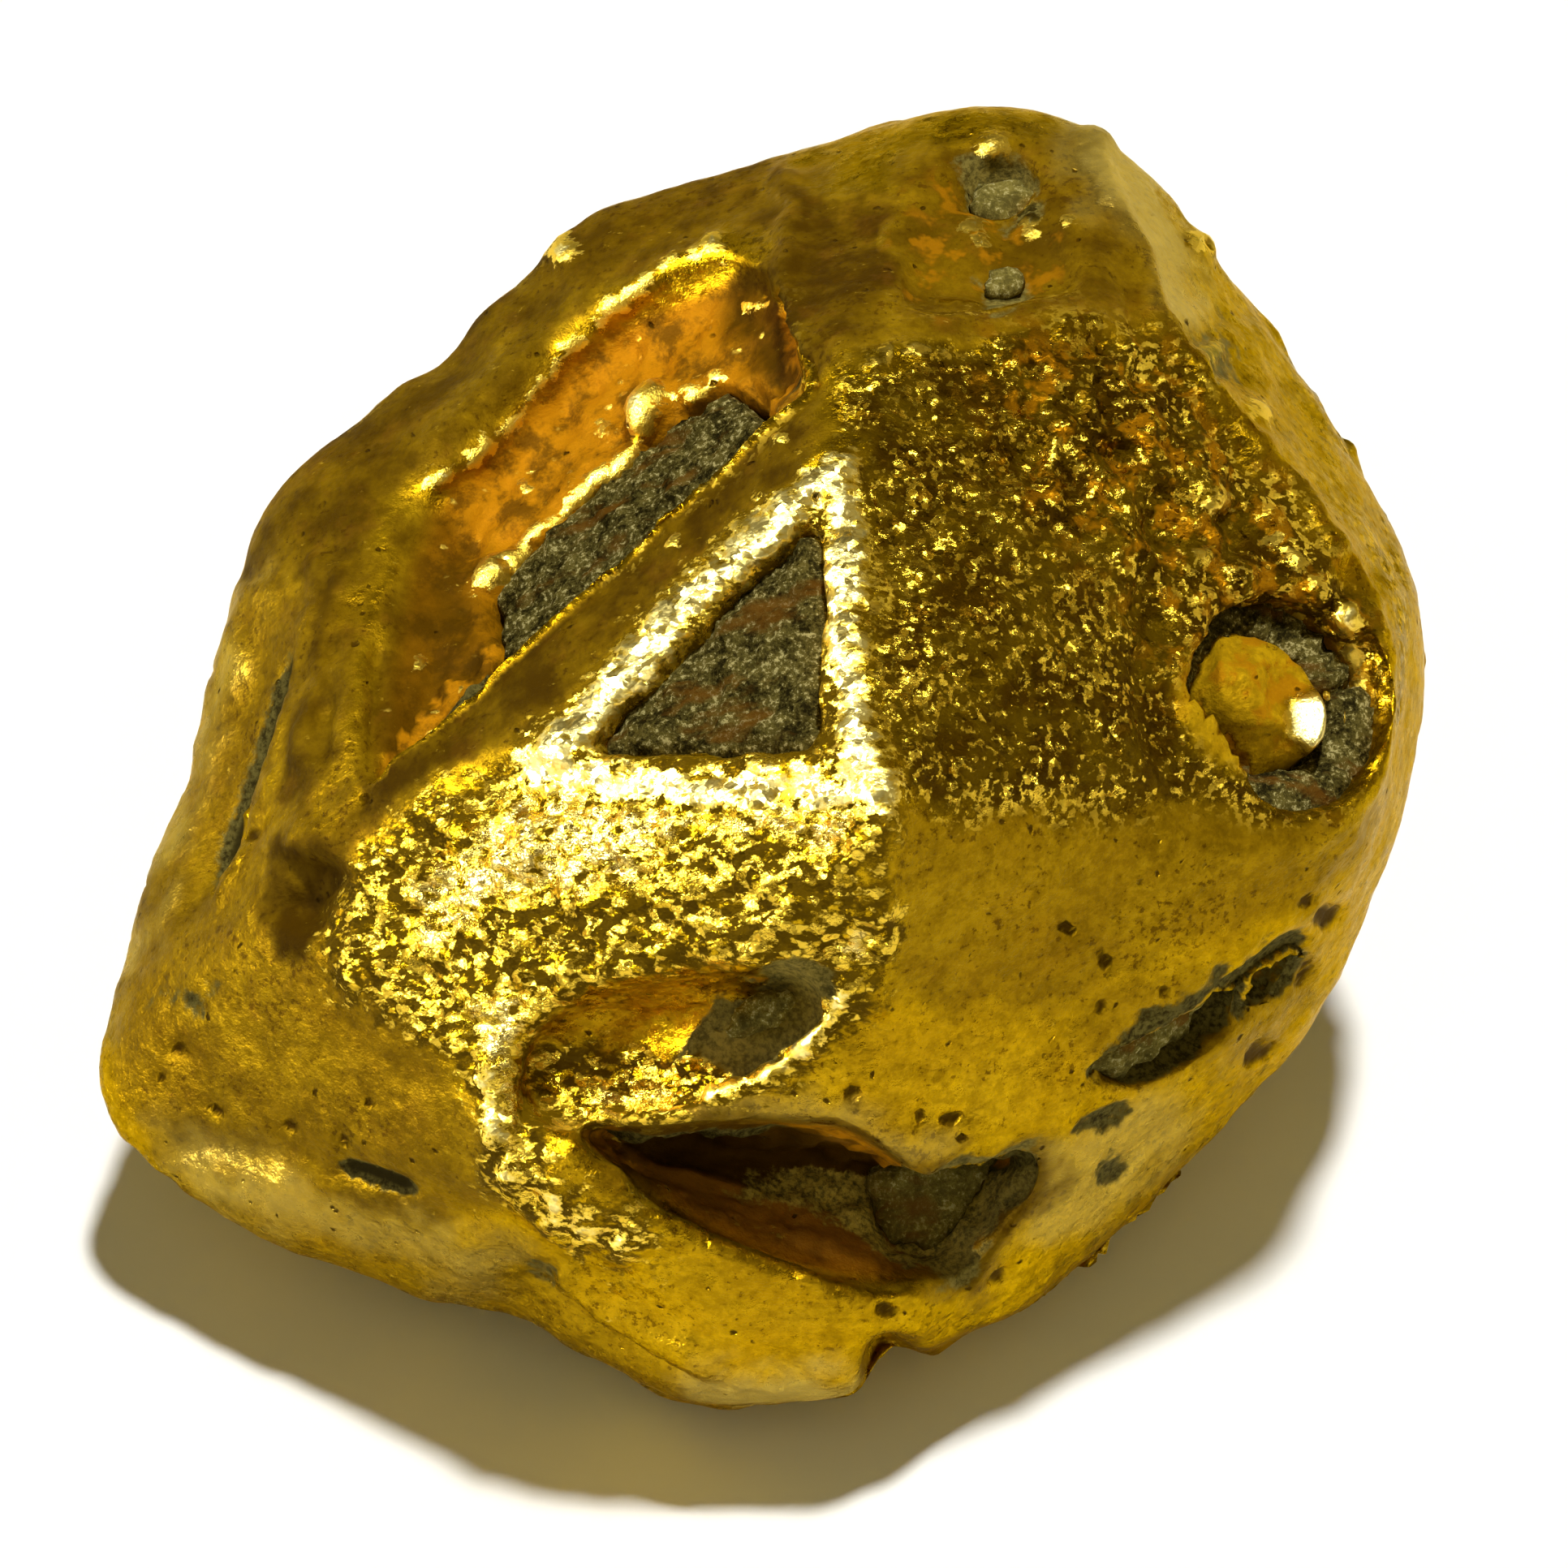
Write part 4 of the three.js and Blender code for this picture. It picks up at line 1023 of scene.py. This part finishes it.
    # What is under a film, dust or silt, or is painted with shade, sheen or bounce light, doesn't mirror
    # the lights.
    film_and_shade = most(fill, most(lightened_groove, pins_and_shade) * 0.8, stain_and_shade, hollow * 0.8, most(dust_and_sheen, knob) * 0.65, shaded_gaps * 0.9)
    film_and_shade = film_and_shade * (1.0 - solid)
    roughness = ramp(noise(0.2, 5.0, 0.65), 0.3, 0.7, finish.satin - 0.07, finish.satin + 0.09)
    roughness = roughness + frosted * (finish.frosted - finish.satin)
    paint.surface(Base_Color=colour, Metallic=ramp(film_and_shade, 0.0, 1.0, 1.0, 0.05), Specular_IOR_Level=0.02,
                  Specular_Tint=finish.edge_tint, Roughness=most(roughness, film_and_shade * 0.75, solid * 0.34))

    # Each crystal step of the frosting has its own tilt, in two sizes.
    normal = paint.node("NewGeometry", "Normal")
    calm = (most(frosted, rim * 0.6) + 0.17) * ramp(beaded, 0.2, 0.6, 1.0, 0.4)
    calm = calm * ramp(bright, 0.7, 1.0, 1.0, 0.5)
    for size, share in ((0.10, 0.6), (0.055, 0.4)):
        place = paint.strayed(paint.mm, size * 1.5, 1.0, size)
        place = paint.vector("MULTIPLY", place, (0.8, 1.15, 1.15))
        tilt = paint.vector("SUBTRACT", cells(size, "Color", place), (0.5, 0.5, 0.5))
        tilt = paint.vector("SCALE", tilt, scale=calm * (2.0 * share * finish.step_tilt))
        normal = paint.vector("ADD", normal, tilt)
    normal = paint.vector("NORMALIZE", normal)
    normal = paint.bump(flakes, finish.frost_depth, ramp(frosted - solid, 0.0, 0.9, 0.35, 1.0), normal)
    worn = ramp(satin, 0.0, 1.0, 0.0, 0.8)
    normal = paint.bump(noise(0.16, 5.0, 0.7), finish.worn_depth, worn, normal)
    paint.surface(Normal=paint.bump(pins_and_shade * -1.0, finish.pin_depth, 1.0, normal))
    return paint.material


def silt_material(finish):
    """Grainy rock silt, with pale glints and streaks of rust."""
    paint = Paint("pit silt")
    noise, ramp, mix = paint.noise, paint.ramp, paint.mix
    grain, clump = noise(0.05, 4.0, 0.75), noise(0.22, 4.0, 0.65)
    height = grain * 0.5 + clump * 0.5
    pale = paint.node("Attribute", "Fac", attribute_name="pale")
    shaded = mix(pale * 0.45, finish.dark, finish.pale)
    colour = mix(ramp(height, 0.40, 0.58), shaded, mix(pale, finish.light, finish.pale))
    colour = mix(ramp(grain + clump * 0.4, 0.76, 0.84), colour, finish.glint)
    rust = ramp(noise(0.6, 4.0, 0.6, paint.stretched((0.6, 2.0, 1.0), -38)), 0.52, 0.66)
    colour = mix(rust * 0.75, colour, finish.rust)
    paint.surface(Base_Color=colour, Roughness=0.9, Specular_IOR_Level=0.0,
                  Normal=paint.bump(height, finish.grain_depth))
    return paint.material


def floor_material(studio):
    paint = Paint("studio floor")
    paint.surface(Base_Color=studio.floor, Roughness=0.8, Specular_IOR_Level=0.1)
    return paint.material


# ------------------------------------------------------------------ settings

def swatch(name, description, default):
    return FloatVectorProperty(name=name, description=description, subtype="COLOR", default=default)


def length(name, description, default, low=0.0):
    return FloatProperty(
        name=name, description=description, default=default, min=low, precision=6, unit="LENGTH")


def factor(name, description, default):
    return FloatProperty(
        name=name, description=description, default=default, min=0.0, max=1.0, subtype="FACTOR")


class GoldCrystalShape(bpy.types.PropertyGroup):
    """How finely and how softly the crystal is sculpted."""

    grid: length("Grid", "Spacing of the sculpted surface's points", 0.075 * MM, 0.03 * MM)
    edge_wear: IntProperty(
        name="Edge wear", description="Smoothing passes that round the edges", default=7, min=0)


class GoldCrystalFinish(bpy.types.PropertyGroup):
    """Colours, roughness and relief of the gold."""

    gold: swatch("Gold", "Clean satin gold", (0.55, 0.33, 0.005))
    old_gold: swatch("Old gold", "Duller gold that mottles it", (0.47, 0.27, 0.004))
    tarnish: swatch("Tarnish", "Brown-olive of the darker faces", (0.17, 0.088, 0.001))
    # Also painted shade: it darkens the pinholes, the groove under its lip and the ground between the
    # sparks.
    film_and_shade: swatch("Film", "Dull brown film over the stained faces", (0.06, 0.028, 0.0004))
    # Painted bounce light: the orange stands in for light reflected back and forth inside the hollows.
    bounce_orange_gold: swatch("Hollow gold", "Orange gold inside the hollows", (0.48, 0.20, 0.003))
    stain: swatch("Stain", "Brown stain in the hollows", (0.10, 0.042, 0.002))
    # Painted light: made lighter to stand in for the light that the groove's deep shade keeps from its
    # walls.
    lightened_groove: swatch("Ruddy", "Deep orange-brown of the groove's walls", (0.30, 0.13, 0.010))
    pale_gold: swatch("Pale gold", "Tops of the frosted flakes", (0.79, 0.53, 0.042))
    bright_gold: swatch("Bright gold", "Raised rims and beads", (0.86, 0.60, 0.07))
    # Painted highlight: near-white gold on the brightest band of flakes, the whitest rims, the beads'
    # crowns and the knob's facet.
    highlight_white_gold: swatch("White gold", "Brightest flakes and rims", (0.94, 0.78, 0.26))
    # Partly dust and partly painted sheen along the outline and the low edges.
    dust_sheen_colour: swatch("Dust", "Pale dust on the worn edges", (0.53, 0.41, 0.095))
    # In the groove this paleness is painted light against the shade it lies in.
    pale_and_lightened_silt: swatch("Pale silt", "Drier silt of the groove, lower hollow and top", (0.30, 0.225, 0.045))
    # Painted shade: the dark olive stands in for the shade in the pits between the flakes and between the
    # sparks.
    gap: swatch("Gap", "Dark olive between the flakes", (0.11, 0.062, 0.001))
    edge_tint: swatch("Edge tint", "Tint of glancing reflections", (0.95, 0.80, 0.42))
    slit_dark: swatch("Slit dark", "Shadowed silt in the slits", (0.03, 0.022, 0.004))
    slit_light: swatch("Slit light", "Lit silt in the slits", (0.13, 0.105, 0.024))
    satin: factor("Satin roughness", "Roughness of the smooth lower faces", 0.30)
    frosted: factor("Frosted roughness", "Roughness of each tiny facet of the frosted faces", 0.24)
    step_tilt: FloatProperty(
        name="Step tilt", description="How far the tiny crystal steps of the frosting tilt",
        default=0.7, min=0.0, max=2.0)
    frost_depth: length("Frost depth", "Relief of the frosted faces", 0.035 * MM)
    worn_depth: length("Worn depth", "Relief of the satin faces", 0.035 * MM)
    pin_depth: length("Pinhole depth", "Relief of the pinholes", 0.03 * MM)


class GoldCrystalSilt(bpy.types.PropertyGroup):
    """Colours and relief of the rock silt caught in the pits."""

    dark: swatch("Dark", "Shadowed grains", (0.014, 0.011, 0.003))
    light: swatch("Light", "Lit grains", (0.125, 0.10, 0.022))
    # Where the groove and the slit are filled, this paleness is painted light against their shade.
    pale: swatch("Pale", "Drier silt of the top, hollow, groove and slit", (0.26, 0.21, 0.045))
    glint: swatch("Glint", "The palest grains", (0.40, 0.35, 0.14))
    rust: swatch("Rust", "Iron staining", (0.13, 0.055, 0.006))
    grain_depth: length("Grain depth", "Relief of the grains", 0.05 * MM)
    swell: length("Swell", "How far each filling is grown to meet its pit's walls", 0.11 * MM)


class GoldCrystalStudio(bpy.types.PropertyGroup):
    """The floor and the camera."""

    floor: swatch("Floor", "Pale floor", (0.86, 0.86, 0.84))
    elevation: FloatProperty(
        name="Elevation", description="How far the camera looks down",
        default=math.radians(50), subtype="ANGLE")
    lens: FloatProperty(
        name="Lens", description="Focal length of the macro lens, in millimetres", default=200.0, min=1.0)


# ------------------------------------------------------------------ operators

SILT_NODES = sorted(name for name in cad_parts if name.startswith("pit_silt"))
SILT_GRID, CLOD_HEIGHT, CLOD_SIZE = 0.06, 0.05, 0.16     # millimetres
# How many swells each filling is grown by, where not 1, and how pale it is, where not 0. The groove's
# and the slit's fillings are made pale as painted light against the shade they lie in.
SWELLS = {"pit_silt_triangular": 2.0, "pit_silt_hopper": 0.5, "pit_silt_hollow": 0.5,
          "pit_silt_groove": 0.9, "pit_silt_round": 2.2, "pit_silt_slit": 2.4}
PALE_SILT = {"pit_silt_top_upper": 0.7, "pit_silt_top_lower": 0.7, "pit_silt_hollow": 0.5,
             "pit_silt_groove": 0.75, "pit_silt_slit": 0.6}


class GOLDCRYSTAL_OT_crystal(bpy.types.Operator):
    """Sculpt the gold crystal around its plain solid"""

    bl_idname = "goldcrystal.crystal"
    bl_label = "Gold crystal"

    def execute(self, context):
        settings = context.scene
        carving, attributes = sculpt_crystal(settings.gold_crystal_shape)
        material = gold_material(settings.gold_crystal_finish)
        made = as_object("worn_gold_crystal", carving, attributes, material)
        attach(made, "root")
        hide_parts("gold_crystal")
        return {"FINISHED"}


class GOLDCRYSTAL_OT_silt(bpy.types.Operator):
    """Fill the pits with granular rock silt"""

    bl_idname = "goldcrystal.silt"
    bl_label = "Silt in the pits"

    def execute(self, context):
        finish = context.scene.gold_crystal_silt
        material = silt_material(finish)
        for number, node in enumerate(SILT_NODES):
            carving = remeshed(node, SILT_GRID)
            if node == "pit_silt_round":
                widen_round_pit(carving)
            carving.lift(SWELLS.get(node, 1.0) * finish.swell / MM)
            carving.relax(2)
            carving.lift(CLOD_HEIGHT * rough(carving.points, CLOD_SIZE, 3, 20 + number))
            pale = np.full(len(carving.points), PALE_SILT.get(node, 0.0))
            made = as_object(node.replace("pit_silt", "grainy_silt"), carving, {"pale": pale}, material)
            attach(made, "root")
            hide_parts(node)
        return {"FINISHED"}


class GOLDCRYSTAL_OT_stage(bpy.types.Operator):
    """Set the floor, camera and lights"""

    bl_idname = "goldcrystal.stage"
    bl_label = "Stage"

    def execute(self, context):
        scene = context.scene
        studio = scene.gold_crystal_studio
        make_floor(studio)
        make_camera(scene, studio)
        make_lights(scene)
        make_room(scene)
        scene.view_settings.view_transform = "Standard"
        return {"FINISHED"}


# ------------------------------------------------------------------ stage

MIDDLE = Vector((0.0, 0.0, REST_HEIGHT * MM))
FLOOR_REACH = 1.2            # metres from its middle to each side
# Softboxes seen only in the polished metal, a distance from the crystal's middle: direction, width and
# height in metres, and radiance.
SOFTBOX_DISTANCE = 0.2
SOFTBOXES = {
    "left softbox": ((-0.80, -0.28, 0.53), (0.09, 0.085), 52.0),
    "overhead softbox": ((-0.12, -0.08, 0.99), (0.05, 0.05), 24.0),
}
# Broad lights that the metal doesn't mirror: direction, energy, angle in degrees and tint.
SUNS = {
    "window light": ((0.10, 0.16, 0.98), 3.6, 5, (1.0, 1.0, 1.0)),
    "front fill": ((-0.1, -0.64, 0.76), 0.30, 50, (1.0, 0.85, 0.42)),
}


def make_floor(studio):
    mesh = bpy.data.meshes.new("floor")
    shell = bmesh.new()
    bmesh.ops.create_grid(shell, x_segments=4, y_segments=4, size=FLOOR_REACH)
    shell.to_mesh(mesh)
    shell.free()
    mesh.materials.append(floor_material(studio))
    floor = bpy.data.objects.new("floor", mesh)
    bpy.context.scene.collection.objects.link(floor)


def aim(thing, target):
    thing.rotation_euler = (target - thing.location).to_track_quat("-Z", "Y").to_euler()


def make_camera(scene, studio):
    data = bpy.data.cameras.new("camera")
    data.lens = studio.lens
    data.sensor_width = 36.0
    data.clip_start, data.clip_end = 0.005, 10.0
    camera = bpy.data.objects.new("camera", data)
    scene.collection.objects.link(camera)
    back = Vector((0.0, -math.cos(studio.elevation), math.sin(studio.elevation)))
    camera.location = MIDDLE + back * EYE_DISTANCE * MM
    aim(camera, MIDDLE)
    scene.camera = camera


def make_lights(scene):
    for name, (direction, energy, angle, tint) in SUNS.items():
        data = bpy.data.lights.new(name, "SUN")
        data.energy = energy
        data.angle = math.radians(angle)
        data.color = tint
        sun = bpy.data.objects.new(name, data)
        sun.rotation_euler = Vector(direction).to_track_quat("Z", "Y").to_euler()
        sun.visible_glossy = False
        scene.collection.objects.link(sun)
    for name, (direction, (wide, high), radiance) in SOFTBOXES.items():
        data = bpy.data.lights.new(name, "AREA")
        data.shape = "RECTANGLE"
        data.size, data.size_y = wide, high
        data.energy = radiance * math.pi * wide * high
        data.color = (1.0, 0.985, 0.95)
        lamp = bpy.data.objects.new(name, data)
        lamp.location = MIDDLE + Vector(direction).normalized() * SOFTBOX_DISTANCE
        lamp.visible_diffuse = False
        lamp.visible_camera = False
        scene.collection.objects.link(lamp)
        aim(lamp, MIDDLE)


def make_room(scene):
    """A dim room for the metal to mirror, lighter to the right, behind a pale backdrop."""
    world = bpy.data.worlds.new("room")
    world.use_nodes = True
    tree = world.node_tree
    dim = tree.nodes["Background"]
    dim.inputs["Color"].default_value = (1.0, 0.82, 0.36, 1.0)
    place, across, glow, pale, path, either = (tree.nodes.new("ShaderNode" + kind) for kind in (
        "TexCoord", "SeparateXYZ", "MapRange", "Background", "LightPath", "MixShader"))
    for socket, value in (("From Min", 0.3), ("From Max", 0.95), ("To Min", 0.11), ("To Max", 0.42)):
        glow.inputs[socket].default_value = value
    pale.inputs["Color"].default_value = (1.0, 1.0, 1.0, 1.0)
    for output, socket in (
            (place.outputs["Generated"], across.inputs["Vector"]),
            (across.outputs["X"], glow.inputs["Value"]),
            (glow.outputs["Result"], dim.inputs["Strength"]),
            (path.outputs["Is Camera Ray"], either.inputs["Fac"]),
            (dim.outputs[0], either.inputs[1]),
            (pale.outputs[0], either.inputs[2]),
            (either.outputs[0], tree.nodes["World Output"].inputs["Surface"])):
        tree.links.new(output, socket)
    scene.world = world


# ------------------------------------------------------------------ panel and registering

class GOLDCRYSTAL_PT_panel(bpy.types.Panel):
    """Lists the crystal's builders"""

    bl_label = "Gold Crystal"
    bl_idname = "GOLDCRYSTAL_PT_panel"
    bl_space_type = "VIEW_3D"
    bl_region_type = "UI"
    bl_category = "Gold Crystal"

    def draw(self, context):
        for name, (title, kind) in SETTINGS.items():
            box = self.layout.box()
            box.label(text=title)
            for key in kind.__annotations__:
                box.prop(getattr(context.scene, name), key)
        for operator in OPERATORS:
            self.layout.operator(operator.bl_idname)


OPERATORS = (GOLDCRYSTAL_OT_crystal, GOLDCRYSTAL_OT_silt, GOLDCRYSTAL_OT_stage)
SETTINGS = {
    "gold_crystal_shape": ("Shape", GoldCrystalShape),
    "gold_crystal_finish": ("Gold", GoldCrystalFinish),
    "gold_crystal_silt": ("Silt", GoldCrystalSilt),
    "gold_crystal_studio": ("Studio", GoldCrystalStudio),
}
CLASSES = (*(kind for _, kind in SETTINGS.values()), *OPERATORS, GOLDCRYSTAL_PT_panel)


def register():
    for kind in CLASSES:
        bpy.utils.register_class(kind)
    for name, (_, kind) in SETTINGS.items():
        setattr(bpy.types.Scene, name, PointerProperty(type=kind))


def unregister():
    for name in SETTINGS:
        delattr(bpy.types.Scene, name)
    for kind in reversed(CLASSES):
        bpy.utils.unregister_class(kind)


def main():
    register()
    bpy.ops.goldcrystal.crystal()
    bpy.ops.goldcrystal.silt()
    bpy.ops.goldcrystal.stage()


if __name__ == "__main__":
    main()
